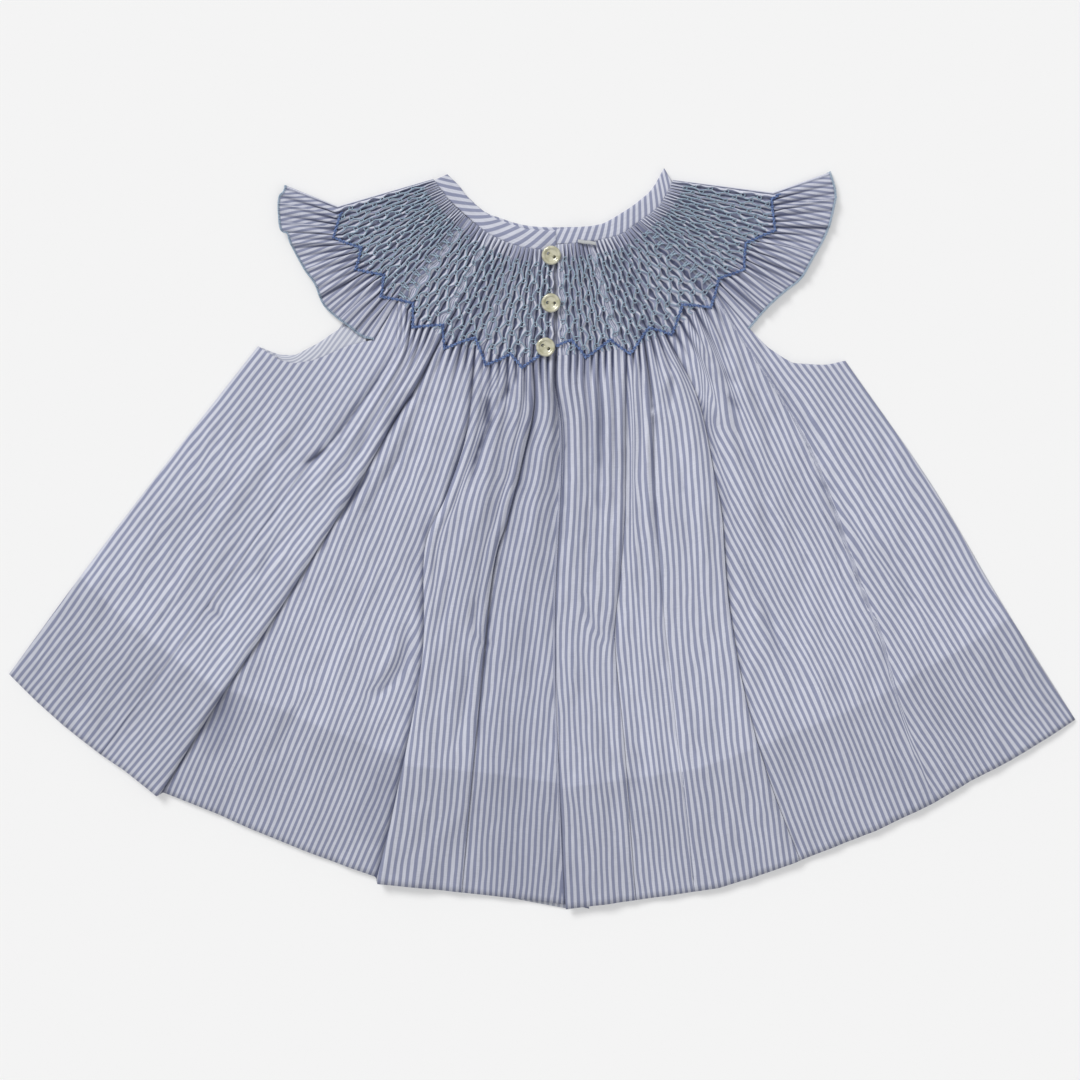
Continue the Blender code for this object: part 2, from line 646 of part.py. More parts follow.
def build_binding(finish):
    """One bias strip round the neck, from the left back end round the front to the right back end."""
    cloth = Cloth("neck_binding")
    back_ends = {"left": 0.0, "right": LAP_LIFT}
    sections = []

    def top_strip(edge_points, seam_points, side):
        edge, seam = Path(edge_points), Path(seam_points)
        strip = []
        for share in np.linspace(0, 0.96, 15):
            x = edge.at(share)[0]
            lift = back_ends[side] * smooth_step((34 - x) / 10)
            floor = BACK_FLOOR + lift
            thick = BINDING_THICKNESS
            if side == "left":
                # Under the right end the left one is pressed thin.
                thick -= (BINDING_THICKNESS - BACK_WALL) * smooth_step(x / 6)
            strip.append(binding_section(edge.at(share), seam.at(share), floor, floor + thick, True))
        return strip, (edge, seam)

    def shoulder_turn(edge, seam):
        """The strip stands on its fold at the shoulder, with its inside 1 mm in."""
        outer = [(*(edge.at(1) * (1 - a) + seam.at(1) * a), FOLD_MIDDLE) for a in (0.04, 0.5, 1)]
        inner = [(*(edge.at(0.98) * (1 - a) + seam.at(0.98) * a), FOLD_MIDDLE) for a in (0, 0.5, 1)]
        return outer, inner

    left, left_paths = top_strip(BACK_NECK_EDGE_LEFT, BACK_NECK_SEAM_LEFT, "left")
    right, right_paths = top_strip(BACK_NECK_EDGE_RIGHT, BACK_NECK_SEAM_RIGHT, "right")
    sections += left
    sections.append(shoulder_turn(*left_paths))
    edge, seam = Path(FRONT_NECK_EDGE), Path(FRONT_NECK)
    for share in np.linspace(0.03, 0.97, 24):
        sections.append(binding_section(edge.at(share), seam.at(share), FRONT_WALL, 0, False))
    sections.append(shoulder_turn(*right_paths))
    sections += right[::-1]
    rows = [(cloth.row(outer, (0, 1, 2)), cloth.row(inner, (0, 1, 2))) for outer, inner in sections]
    cloth.loft(rows)
    return cloth.finish(finish)


def build_facing(finish):
    """The narrow bias facing inside the front's armhole, where it shows above the back."""
    outline = sampled(Path(FACING_FRONT_EDGE), 10) + sampled(Path(FACING_BACK_EDGE), 10)[::-1]
    return outline_slab("armhole_facing_left", outline, BACK_FLOOR, 1.0, finish)


def button_profile():
    """Half of the button's section, from the middle of its face over the rim to its underside."""
    radius, height = BUTTON_RADIUS, BUTTON_HEIGHT
    shares = (
        (0, 0.62), (0.5, 0.64), (0.66, 0.84), (0.82, 1), (0.95, 0.86), (1, 0.5), (0.9, 0.14), (0.7, 0),
        (0, 0),
    )
    return [(r * radius, z * height) for r, z in shares]


def build_button(name, x, y, turn, sunk, finish):
    """A two-hole button, turned from its profile and drilled twice."""
    mesh = bmesh.new()
    verts = [mesh.verts.new((r * MM, 0, z * MM)) for r, z in button_profile()]
    edges = [mesh.edges.new(pair) for pair in zip(verts, verts[1:])]
    bmesh.ops.spin(
        mesh, geom=verts + edges, cent=(0, 0, 0), axis=(0, 0, 1), angle=2 * math.pi, steps=24, use_merge=True
    )
    bmesh.ops.remove_doubles(mesh, verts=mesh.verts, dist=0.01 * MM)
    bmesh.ops.recalc_face_normals(mesh, faces=mesh.faces)
    button = add_object(name, mesh, finish)
    button.location = (x * MM, y * MM, (BUTTON_FLOOR - sunk) * MM)
    for side in (-1, 1):
        drill_mesh = bmesh.new()
        place = Matrix.Translation((side * BUTTON_HOLE_SPACING / 2 * MM, 0, BUTTON_HEIGHT / 2 * MM))
        bmesh.ops.create_cone(
            drill_mesh, cap_ends=True, segments=10, radius1=BUTTON_HOLE_RADIUS * MM,
            radius2=BUTTON_HOLE_RADIUS * MM, depth=3 * BUTTON_HEIGHT * MM, matrix=place,
        )
        data = bpy.data.meshes.new(f"{name}_drill")
        drill_mesh.to_mesh(data)
        drill_mesh.free()
        drill = bpy.data.objects.new(f"{name}_drill_{side}", data)
        bpy.data.collections["cutters"].objects.link(drill)
        drill.hide_render = True
        drill.display_type = "WIRE"
        drill.parent = button
        cut = button.modifiers.new("hole", "BOOLEAN")
        cut.operation = "DIFFERENCE"
        cut.object = drill
    button.rotation_euler.z = math.radians(90 - turn)
    return button


def build_tab(finish):
    """The folded edge of a plain tape that stands out of the neck seam."""
    mesh = bmesh.new()
    bmesh.ops.create_cube(mesh, size=1)
    bmesh.ops.scale(mesh, vec=[s * MM for s in TAB_SIZE], verts=mesh.verts)
    tab = add_object("neck_tape", mesh, finish)
    tab.location = (TAB_CENTRE[0] * MM, TAB_CENTRE[1] * MM, (TAB_FLOOR + TAB_SIZE[2] / 2) * MM)
    tab.rotation_euler.z = math.radians(TAB_TURN)
    rounded = tab.modifiers.new("soft_edges", "BEVEL")
    rounded.width = 0.25 * MM
    rounded.segments = 1
    return tab


def clear_scene():
    for obj in list(bpy.data.objects):
        bpy.data.objects.remove(obj)
    for name in ("toddler_dress", "cutters"):
        bpy.context.scene.collection.children.link(bpy.data.collections.new(name))


def main():
    clear_scene()
    stripe = material("striped_cotton", (0.43, 0.45, 0.58), 0.85)
    inside = material("cotton_inside", (0.55, 0.56, 0.66), 0.9)
    pearl = material("pearl_button", (0.68, 0.66, 0.5), 0.25)
    tape = material("white_tape", (0.75, 0.75, 0.73), 0.8)
    build_front(inside)
    build_back("back_left", LEFT_BACK, stripe)
    build_back("back_right", RIGHT_BACK, stripe)
    build_sleeve("sleeve_left", LEFT_SLEEVE, stripe)
    build_sleeve("sleeve_right", RIGHT_SLEEVE, stripe)
    build_binding(stripe)
    build_facing(inside)
    for number, (x, y, turn, sunk) in enumerate(BUTTON_PLACES, start=1):
        build_button(f"button_{number}", x, y, turn, sunk, pearl)
    build_tab(tape)


if __name__ == "__main__":
    main()
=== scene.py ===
"""The looks of a toddler's smocked dress with flutter sleeves, laid flat on its front so that its back shows.

Plan places and sizes are in millimetres in the dress's own frame: X to the right, Y towards the neck, Z up.
Each cloth piece is a grid of points. Its columns follow the threads of the cloth, so that the woven stripes,
which are read from the cloth's own coordinates, bend, close up and disappear under a fold with the threads.
"""

from __future__ import annotations

import logging
import math
from collections.abc import Callable
from dataclasses import dataclass, field
from enum import Enum

import bpy
import numpy as np
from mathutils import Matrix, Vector
from mathutils.bvhtree import BVHTree

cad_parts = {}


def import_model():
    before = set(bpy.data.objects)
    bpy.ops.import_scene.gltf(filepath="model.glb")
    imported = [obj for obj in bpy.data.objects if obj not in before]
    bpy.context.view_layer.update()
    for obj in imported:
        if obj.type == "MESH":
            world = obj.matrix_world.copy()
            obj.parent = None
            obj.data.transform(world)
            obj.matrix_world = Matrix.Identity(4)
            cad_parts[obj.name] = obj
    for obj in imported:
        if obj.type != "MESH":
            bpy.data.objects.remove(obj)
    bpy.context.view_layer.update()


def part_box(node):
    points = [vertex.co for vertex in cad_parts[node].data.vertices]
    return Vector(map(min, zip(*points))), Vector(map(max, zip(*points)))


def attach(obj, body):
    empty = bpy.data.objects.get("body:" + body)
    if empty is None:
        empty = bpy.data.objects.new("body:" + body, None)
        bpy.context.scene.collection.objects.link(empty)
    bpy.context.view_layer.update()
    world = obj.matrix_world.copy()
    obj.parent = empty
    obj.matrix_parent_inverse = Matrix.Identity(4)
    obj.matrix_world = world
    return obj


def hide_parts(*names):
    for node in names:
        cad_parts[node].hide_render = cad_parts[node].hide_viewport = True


LOG = logging.getLogger("toddler_dress")
MM = 0.001
Points = tuple[tuple[float, float], ...]
Surface = Callable[[np.ndarray, np.ndarray], np.ndarray]  # points from pleat counts and shares of the depth
Heights = Callable[[np.ndarray], np.ndarray]  # heights from plan points

# Layers, from the table up, as in the solids.
FRONT_TOP = 1.5
BACK_FACE = 3.0  # outer face of a back piece between its folds
LAP_LIFT = 1.5  # how much the right back is raised where it laps the left
CLOTH_THICKNESS = 0.35
FAR_FROM_HEM = 300.0  # place down the cloth of pieces that have no hem
# The most painted shade that any point of the cloth takes.
DEEPEST_PAINTED_SHADE = 0.92

# The woven cloth.
STRIPE_PITCH = 3.42
HEM_DEPTH = 66.0

# Smocking.
BACK_PLEATS = 23
SLEEVE_PLEATS = 20
COLUMNS_PER_PLEAT = 9
PLEAT_HEIGHT_NECK = 1.0
PLEAT_HEIGHT_YOKE = 2.2
PLEAT_SWAY = 0.24  # how far neighbouring pleats are drawn together, as a share of their pitch
RIB_POWER = 0.55  # under 1, the pleats are full and the gaps between them narrow
STITCH_ROWS = (0.13, 0.21, 0.29, 0.37, 0.45, 0.53, 0.61, 0.69, 0.77, 0.85, 0.93)  # shares of the yoke's depth
FOLD_START = 0.12  # share of the skirt's length over which a fold rises from the smocking


def smoothed(values: np.ndarray, reach: int) -> np.ndarray:
    """Average a grid of values over a square of this reach, twice."""
    kernel = np.ones(2 * reach + 1) / (2 * reach + 1)
    for axis in (0, 1, 0, 1):
        values = np.apply_along_axis(
            lambda line: np.convolve(np.pad(line, reach, "edge"), kernel, "valid"), axis, values
        )
    return values


def smooth_step(value: np.ndarray | float) -> np.ndarray:
    """Ease from 0 to 1 as the value goes from 0 to 1."""
    t = np.clip(value, 0.0, 1.0)
    return t * t * (3 - 2 * t)


def between(first: np.ndarray, last: np.ndarray, share: np.ndarray) -> np.ndarray:
    """Points at these shares of the way from the first to the last."""
    return first * (1 - share[..., None]) + last * share[..., None]


def with_heights(plan: np.ndarray, heights: np.ndarray) -> np.ndarray:
    """Points from their plan places and heights."""
    return np.concatenate([plan, heights[..., None]], axis=-1)


def unit(vectors: np.ndarray) -> np.ndarray:
    """The vectors at a length of 1."""
    return vectors / np.maximum(np.linalg.norm(vectors, axis=-1, keepdims=True), 1e-9)


def lengths_along(line: np.ndarray) -> np.ndarray:
    """Distance of each of a line's points from its start, along it."""
    return np.concatenate([[0], np.cumsum(np.linalg.norm(np.diff(line, axis=0), axis=1))])


def crest(pleat: np.ndarray) -> np.ndarray:
    """A pleat's rounded section, from 0 in the gap to 1 on top."""
    return (1 - np.cos(2 * math.pi * pleat)) / 2


def read_grid(grid: np.ndarray, rows: np.ndarray, columns: np.ndarray) -> np.ndarray:
    """Points on a grid's surface at these places, which may lie between its rows and columns."""
    low_r = np.minimum(np.floor(rows).astype(int), grid.shape[0] - 2)
    low_c = np.minimum(np.floor(columns).astype(int), grid.shape[1] - 2)
    part_r, part_c = rows - low_r, columns - low_c
    upper = between(grid[low_r, low_c], grid[low_r, low_c + 1], part_c)
    lower = between(grid[low_r + 1, low_c], grid[low_r + 1, low_c + 1], part_c)
    return between(upper, lower, part_r)


def three_heights(heights: tuple[float, float, float], shares: np.ndarray) -> np.ndarray:
    """Read a table of values at the top, the middle and the hem.

    Args:
        heights: the values at the top, the middle and the hem.
        shares: how far down to read, from 0 to 1.

    Returns:
        The value at each share.
    """
    return np.interp(shares, (0, 0.5, 1), heights)


class Course:
    """A smooth plan curve through a few points, read by its share of length."""

    SAMPLES = 12

    def __init__(self, points: Points | np.ndarray, smooth: bool = True) -> None:
        """Lay the curve through its points.

        Args:
            points: plan points in millimetres.
            smooth: whether to round the curve between them.
        """
        places = np.array(points, float)
        if smooth and len(places) > 2:
            ends = np.vstack([2 * places[0] - places[1], places, 2 * places[-1] - places[-2]])
            t = np.linspace(0, 1, self.SAMPLES, endpoint=False)[:, None]
            dense = []
            for a, b, c, d in zip(ends, ends[1:], ends[2:], ends[3:]):
                bend = (2 * a - 5 * b + 4 * c - d) * t**2 + (3 * b - a - 3 * c + d) * t**3
                dense.append(b + (c - a) * t / 2 + bend / 2)
            places = np.vstack([*dense, places[-1:]])
        self.points = places
        self.along = lengths_along(places)

    @property
    def length(self) -> float:
        """Length of the curve in millimetres."""
        return float(self.along[-1])

    def at(self, shares: np.ndarray | float) -> np.ndarray:
        """Plan points at these shares of the length, with a last axis of 2."""
        places = np.asarray(shares) * self.length
        return np.stack([np.interp(places, self.along, self.points[:, k]) for k in (0, 1)], axis=-1)

    def share_near(self, point: tuple[float, float]) -> float:
        """Share of the length at which the curve passes nearest to a point."""
        shares = np.linspace(0, 1, 4001)
        nearest = np.linalg.norm(self.at(shares) - np.array(point, float), axis=1).argmin()
        return float(shares[nearest])

    def beside(self, points: np.ndarray, reach: float = 80.0) -> np.ndarray:
        """Measure how far points lie beside the curve, which runs on straight at both ends.

        Args:
            points: plan points, with a last axis of 2.
            reach: how far the curve runs on.

        Returns:
            Distances in millimetres, above 0 to the left of the curve as it runs.
        """
        line = self.at(np.linspace(0, 1, 160))
        beyond = np.linspace(1, 0, 16, endpoint=False)[:, None] * reach
        before = line[0] + (line[0] - line[1]) / np.linalg.norm(line[0] - line[1]) * beyond
        after = line[-1] + (line[-1] - line[-2]) / np.linalg.norm(line[-1] - line[-2]) * beyond[::-1]
        line = np.vstack([before, line, after])
        normals = course_normals(line)
        flat = points.reshape(-1, 2)
        nearest = ((line**2).sum(1)[None] - 2 * flat @ line.T).argmin(1)
        return ((flat - line[nearest]) * normals[nearest]).sum(1).reshape(points.shape[:-1])


def course_normals(points: np.ndarray) -> np.ndarray:
    """Unit vectors to the left of a plan line at each of its points."""
    ahead = unit(np.gradient(points, axis=0))
    return np.stack([-ahead[:, 1], ahead[:, 0]], axis=1)


class Slot(Enum):
    """Material slots for the pieces."""

    STRIPED = "striped_cotton"
    INSIDE = "cotton_inside"
    PEARL = "pearl_button"
    TAPE = "white_tape"


class Hold(Enum):
    """How a sheet of cloth is held."""

    GATHERED = "gathered"
    LAID = "laid"
    FOLDED = "folded"


class NodeDesk:
    """Short calls for laying out a material's nodes."""

    def __init__(self, name: str) -> None:
        """Start a material with a Principled shader."""
        self.material = bpy.data.materials.new(name)
        self.material.use_nodes = True
        self.tree = self.material.node_tree
        self.shader = self.tree.nodes["Principled BSDF"]

    def node(self, kind: str, **settings: object) -> bpy.types.Node:
        """Add a node and set its properties."""
        made = self.tree.nodes.new(kind)
        for key, value in settings.items():
            setattr(made, key, value)
        return made

    def link(self, source: bpy.types.NodeSocket, target: bpy.types.NodeSocket) -> None:
        """Join an output to an input."""
        self.tree.links.new(source, target)

    def math(self, operation: str, *values: bpy.types.NodeSocket | float) -> bpy.types.NodeSocket:
        """Add a Math node.

        Args:
            operation: the node's operation.
            values: its inputs, sockets or numbers.

        Returns:
            Its output.
        """
        made = self.node("ShaderNodeMath", operation=operation)
        for socket, value in zip(made.inputs, values):
            if isinstance(value, (int, float)):
                socket.default_value = value
            else:
                self.link(value, socket)
        return made.outputs[0]

    def ramp(
        self, value: bpy.types.NodeSocket, low: float, high: float, start: float, end: float
    ) -> bpy.types.NodeSocket:
        """Turn a value that runs from low to high into one that eases from start to end."""
        made = self.node("ShaderNodeMapRange", interpolation_type="SMOOTHSTEP")
        self.link(value, made.inputs["Value"])
        for name, number in (("From Min", low), ("From Max", high), ("To Min", start), ("To Max", end)):
            made.inputs[name].default_value = number
        return made.outputs["Result"]

    def mix(
        self, factor: bpy.types.NodeSocket | float, first: object, second: object, blend: str = "MIX"
    ) -> bpy.types.NodeSocket:
        """Mix two colours, each a socket or an RGB triple."""
        made = self.node("ShaderNodeMix", data_type="RGBA", blend_type=blend)
        inputs = [made.inputs[0], made.inputs[6], made.inputs[7]]
        for socket, value in zip(inputs, (factor, first, second)):
            if isinstance(value, bpy.types.NodeSocket):
                self.link(value, socket)
            elif isinstance(value, tuple):
                socket.default_value = (*value, 1)
            else:
                socket.default_value = value
        return made.outputs[2]

    def noise(self, vector: bpy.types.NodeSocket, scale: float, detail: float = 2.0) -> bpy.types.NodeSocket:
        """Add a Noise texture, and give its value."""
        made = self.node("ShaderNodeTexNoise")
        made.inputs["Scale"].default_value = scale
        made.inputs["Detail"].default_value = detail
        self.link(vector, made.inputs["Vector"])
        return made.outputs["Fac"]

    def scaled(self, vector: bpy.types.NodeSocket, scale: tuple[float, float, float]) -> bpy.types.NodeSocket:
        """Scale a vector."""
        made = self.node("ShaderNodeMapping")
        made.inputs["Scale"].default_value = scale
        self.link(vector, made.inputs["Vector"])
        return made.outputs["Vector"]

    def bump(self, height: bpy.types.NodeSocket, strength: float, distance: float) -> None:
        """Give the shader a bump from a height."""
        made = self.node("ShaderNodeBump")
        made.inputs["Strength"].default_value = strength
        made.inputs["Distance"].default_value = distance
        self.link(height, made.inputs["Height"])
        self.link(made.outputs["Normal"], self.shader.inputs["Normal"])

    def grained(
        self, scale: tuple[float, float, float], frequency: float, spread: tuple[float, float],
        colours: tuple[tuple, tuple], bump: tuple[float, float], detail: float = 2.0,
    ) -> None:
        """Colour and bump the material by one noise in the object's own space.

        Args:
            scale: the noise's scale along each axis.
            frequency: a further scale for all three.
            spread: values of the noise at which the two colours are full.
            colours: the colours of its low and its high places.
            bump: the bump's strength and distance.
            detail: the noise's octaves.
        """
        place = self.node("ShaderNodeTexCoord").outputs["Object"]
        grain = self.noise(self.scaled(place, scale), frequency, detail)
        base = self.mix(self.ramp(grain, *spread, 0.0, 1.0), *colours)
        self.link(base, self.shader.inputs["Base Color"])
        self.bump(grain, *bump)

    def settings(self, **values: float | tuple) -> None:
        """Set the shader's own sockets, named in lower case with underscores."""
        for key, value in values.items():
            name = key.replace("_", " ").title().replace("Ior", "IOR")
            socket = self.shader.inputs[name]
            socket.default_value = (*value, 1) if isinstance(value, tuple) else value


@dataclass(frozen=True)
class StripedCotton:
    """Yarn-dyed cotton shirting, with stripes, weave, slubs, a darker doubled hem and painted shade in its
    low places.
    """

    name: str
    dark: tuple[float, float, float] = (0.27, 0.29, 0.412)
    light: tuple[float, float, float] = (0.608, 0.624, 0.712)
    painted_shade: tuple[float, float, float] = (0.045, 0.055, 0.12)  # painted shade: the colour that the cloth is darkened towards deep between two pleats and beside folds
    dark_share: float = 0.5
    edge: float = 0.34  # how softly a stripe's yarns meet its neighbour's, in millimetres
    hem_shade: float = 0.87

    def make(self) -> bpy.types.Material:
        """Build the material."""
        desk = NodeDesk(self.name)
        cloth = desk.node("ShaderNodeUVMap", uv_map="cloth").outputs["UV"]
        parts = desk.node("ShaderNodeSeparateXYZ")
        desk.link(cloth, parts.inputs[0])
        across, fall = parts.outputs["X"], parts.outputs["Y"]
        # The yarns wander a little.
        wander = desk.noise(desk.scaled(cloth, (0.02, 0.05, 1)), 1.0)
        shifted = desk.math("ADD", across, desk.math("MULTIPLY", desk.math("SUBTRACT", wander, 0.5), 0.5))
        distance = desk.math("PINGPONG", shifted, STRIPE_PITCH / 2)
        border = self.dark_share * STRIPE_PITCH / 2
        stripe = desk.ramp(distance, border - self.edge / 2, border + self.edge / 2, 0.0, 1.0)
        base = desk.mix(stripe, self.dark, self.light)
        # Slubs along the yarns, both ways.
        warp = desk.noise(desk.scaled(cloth, (3.2, 0.12, 1)), 1.0)
        weft = desk.noise(desk.scaled(cloth, (0.15, 3.6, 1)), 1.0)
        cloudy = desk.noise(desk.scaled(cloth, (0.03, 0.02, 1)), 1.0)
        shade = desk.math(
            "MULTIPLY", desk.ramp(warp, 0.25, 0.75, 0.93, 1.07), desk.ramp(weft, 0.25, 0.75, 0.95, 1.05)
        )
        shade = desk.math("MULTIPLY", shade, desk.ramp(cloudy, 0.3, 0.7, 0.965, 1.03))
        hem = desk.ramp(fall, HEM_DEPTH - 2.0, HEM_DEPTH + 2.5, self.hem_shade, 1.0)
        turned = desk.math("ABSOLUTE", desk.math("SUBTRACT", fall, HEM_DEPTH))
        line = desk.ramp(turned, 0.0, 1.4, 0.965, 1.0)
        shade = desk.math("MULTIPLY", shade, desk.math("MULTIPLY", hem, line))
        grey = desk.node("ShaderNodeCombineColor")
        for socket in grey.inputs:
            desk.link(shade, socket)
        base = desk.mix(1.0, base, grey.outputs[0], "MULTIPLY")
        # Painted shade: darken the cloth where it lies low, between pleats and beside folds, by its point
        # attribute.
        depth = desk.node("ShaderNodeAttribute", attribute_name="painted_shade").outputs["Fac"]
        base = desk.mix(depth, base, self.painted_shade)
        desk.link(base, desk.shader.inputs["Base Color"])
        # Plain weave, three yarns to a millimetre.
        over = desk.math("SINE", desk.math("MULTIPLY", across, 2 * math.pi * 3.0))
        under = desk.math("SINE", desk.math("MULTIPLY", fall, 2 * math.pi * 2.6))
        weave = desk.math("ADD", desk.math("MULTIPLY", over, under), desk.math("MULTIPLY", warp, 1.5))
        desk.bump(weave, 0.35, 0.06 * MM)
        desk.settings(roughness=0.86, sheen_weight=0.12, sheen_roughness=0.5, specular_ior_level=0.25)
        return desk.material


@dataclass(frozen=True)
class SpunThread:
    """Mercerised sewing thread with a soft lustre."""

    name: str
    colour: tuple[float, float, float]
    shade: tuple[float, float, float]
    fleck: float = 2.2  # strands to a millimetre

    def make(self) -> bpy.types.Material:
        """Build the material."""
        desk = NodeDesk(self.name)
        colours = self.shade, self.colour
        desk.grained((1 / MM, 1 / MM, 1 / MM), self.fleck, (0.35, 0.65), colours, (0.5, 0.1 * MM))
        desk.settings(roughness=0.55, sheen_weight=0.3, sheen_roughness=0.4)
        return desk.material


@dataclass(frozen=True)
class PearlShell:
    """Pearly cast polyester with a hard gloss."""

    name: str
    colour: tuple[float, float, float] = (0.46, 0.445, 0.30)
    cloud: tuple[float, float, float] = (0.62, 0.60, 0.46)

    def make(self) -> bpy.types.Material:
        """Build the material."""
        desk = NodeDesk(self.name)
        colours = self.colour, self.cloud
        desk.grained((300, 520, 300), 1.0, (0.35, 0.65), colours, (0.05, 0.2 * MM), detail=3.0)
        desk.settings(roughness=0.2, coat_weight=0.8, coat_roughness=0.05, metallic=0.12)
        return desk.material


@dataclass(frozen=True)
class PlainTape:
    """Plain woven cotton tape."""

    name: str
    colour: tuple[float, float, float] = (0.5, 0.51, 0.52)

    def make(self) -> bpy.types.Material:
        """Build the material."""
        desk = NodeDesk(self.name)
        dull = tuple(0.9 * c for c in self.colour)
        desk.grained((2500, 900, 900), 1.0, (0.3, 0.7), (dull, self.colour), (0.5, 0.1 * MM))
        desk.settings(roughness=0.85, sheen_weight=0.2)
        return desk.material


@dataclass(frozen=True)
class StudioFloor:
    """The plain pale floor."""

    name: str = "floor"
    colour: tuple[float, float, float] = (0.6, 0.6, 0.6)
    glow: float = 0.5  # a lit table, on which shadows are faint

    def make(self) -> bpy.types.Material:
        """Build the material."""
        desk = NodeDesk(self.name)
        place = desk.node("ShaderNodeTexCoord").outputs["Object"]
        grain = desk.noise(place, 40.0)
        pale = tuple(0.997 * c for c in self.colour)
        base = desk.mix(grain, pale, self.colour)
        desk.link(base, desk.shader.inputs["Base Color"])
        desk.link(base, desk.shader.inputs["Emission Color"])
        desk.settings(roughness=0.9, specular_ior_level=0.1, emission_strength=self.glow)
        return desk.material


def link_object(name: str, data: bpy.types.ID, material: bpy.types.Material) -> bpy.types.Object:
    """Put data in the scene as a named object with one material."""
    data.materials.append(material)
    obj = bpy.data.objects.new(name, data)
    bpy.context.scene.collection.objects.link(obj)
    return obj


def mesh_object(
    name: str, points: np.ndarray | list, faces: list, material: bpy.types.Material
) -> bpy.types.Object:
    """Make a smooth mesh from points in millimetres, and put it in the scene."""
    mesh = bpy.data.meshes.new(name)
    mesh.from_pydata((np.asarray(points) * MM).tolist(), [], faces)
    mesh.shade_smooth()
    return link_object(name, mesh, material)


@dataclass
class ClothGrid:
    """A grid of cloth points with their places in the cut cloth.

    Rows run across the piece, and columns run down it. Places are in millimetres.
    """

    points: np.ndarray
    across: np.ndarray
    fall: np.ndarray
    # How much painted shade darkens each point, from 0 to 1.
    painted_shade: np.ndarray

    def quads(self) -> np.ndarray:
        """Corner numbers of the grid's faces, turned so that most of them face up."""
        rows, columns = self.points.shape[:2]
        first = (np.arange(rows - 1)[:, None] * columns + np.arange(columns - 1)).reshape(-1)
        quads = np.stack([first, first + 1, first + columns + 1, first + columns], axis=1)
        flat = self.points.reshape(-1, 3)
        edges = flat[quads[:, 1]] - flat[quads[:, 0]], flat[quads[:, 3]] - flat[quads[:, 0]]
        return quads if np.cross(*edges)[:, 2].sum() > 0 else quads[:, ::-1]


def grid_object(
    name: str, grids: list[ClothGrid], material: bpy.types.Material, thickness: float
) -> bpy.types.Object:
    """Make one mesh from cloth grids.

    Args:
        name: the object's name.
        grids: the grids, whose shared borders are welded.
        material: the cloth's finish.
        thickness: how thick the cloth is, in millimetres, or 0 for a bare surface.

    Returns:
        The object.
    """
    points = np.vstack([g.points.reshape(-1, 3) for g in grids])
    uv = np.vstack([np.stack([g.across, g.fall], axis=-1).reshape(-1, 2) for g in grids])
    painted_shade = np.concatenate([g.painted_shade.reshape(-1) for g in grids])
    starts = np.cumsum([0] + [g.across.size for g in grids[:-1]])
    quads = np.vstack([g.quads() + start for g, start in zip(grids, starts)])
    mesh = bpy.data.meshes.new(name)
    mesh.from_pydata((points * MM).tolist(), [], quads.tolist())
    layer = mesh.uv_layers.new(name="cloth")
    layer.data.foreach_set("uv", uv[quads.reshape(-1)].astype(np.float32).reshape(-1))
    # The painted shade goes to the material as a point attribute.
    shade = mesh.attributes.new("painted_shade", "FLOAT", "POINT")
    shade.data.foreach_set("value", painted_shade.astype(np.float32))
    mesh.shade_smooth()
    obj = link_object(name, mesh, material)
    if len(grids) > 1:
        weld = obj.modifiers.new("joined", "WELD")
        weld.merge_threshold = 0.01 * MM
    if thickness:
        solid = obj.modifiers.new("thickness", "SOLIDIFY")
        solid.thickness = thickness * MM
        solid.offset = -1
    return obj


def shade_hollows(grids: list[ClothGrid], strength: float = 0.8) -> None:
    """Paint shade on the cloth that lies lower than what is round it, in valleys and beside folds.

    Args:
        grids: the cloth's grids, whose painted shade values are raised.
        strength: the darkest painted shade.
    """
    dense = [g.points[:-1] * (1 - f) + g.points[1:] * f for g in grids for f in (0.0, 0.33, 0.67)]
    points = np.vstack([d.reshape(-1, 3) for d in dense])
    margin = 20
    low = points[:, :2].min(0) - margin
    size = tuple((points[:, :2].max(0) + margin - low).astype(int) + 1)
    field_z = np.zeros(size)
    cells = (points[:, :2] - low).astype(int)
    np.maximum.at(field_z, (cells[:, 0], cells[:, 1]), points[:, 2])
    known = (field_z > 0).astype(float)
    for reach, depth, part in ((2, 1.5, 0.6), (6, 3.2, 0.4)):
        mean = smoothed(field_z, reach) / np.maximum(smoothed(known, reach), 1e-3)
        for grid in grids:
            place = (grid.points[..., :2] - low).astype(int)
            below = mean[place[..., 0], place[..., 1]] - grid.points[..., 2]
            grid.painted_shade = np.maximum(grid.painted_shade, 0) + part * strength * smooth_step((below - 0.1) / depth)
    for grid in grids:
        grid.painted_shade = np.minimum(grid.painted_shade, DEEPEST_PAINTED_SHADE)


def surface_of(grids: list[ClothGrid]) -> BVHTree:
    """A tree of the grids' faces for finding the cloth's height, in millimetres."""
    points, quads, start = [], [], 0
    for grid in grids:
        points += grid.points.reshape(-1, 3).tolist()
        quads += (grid.quads() + start).tolist()
        start += grid.across.size
    return BVHTree.FromPolygons(points, quads)


def height_on(tree: BVHTree, x: float, y: float, missing: float) -> float:
    """Height of the cloth at a plan place, or the missing value where there is none."""
    hit = tree.ray_cast(Vector((x, y, 50.0)), Vector((0, 0, -1)))[0]
    return missing if hit is None else hit.z


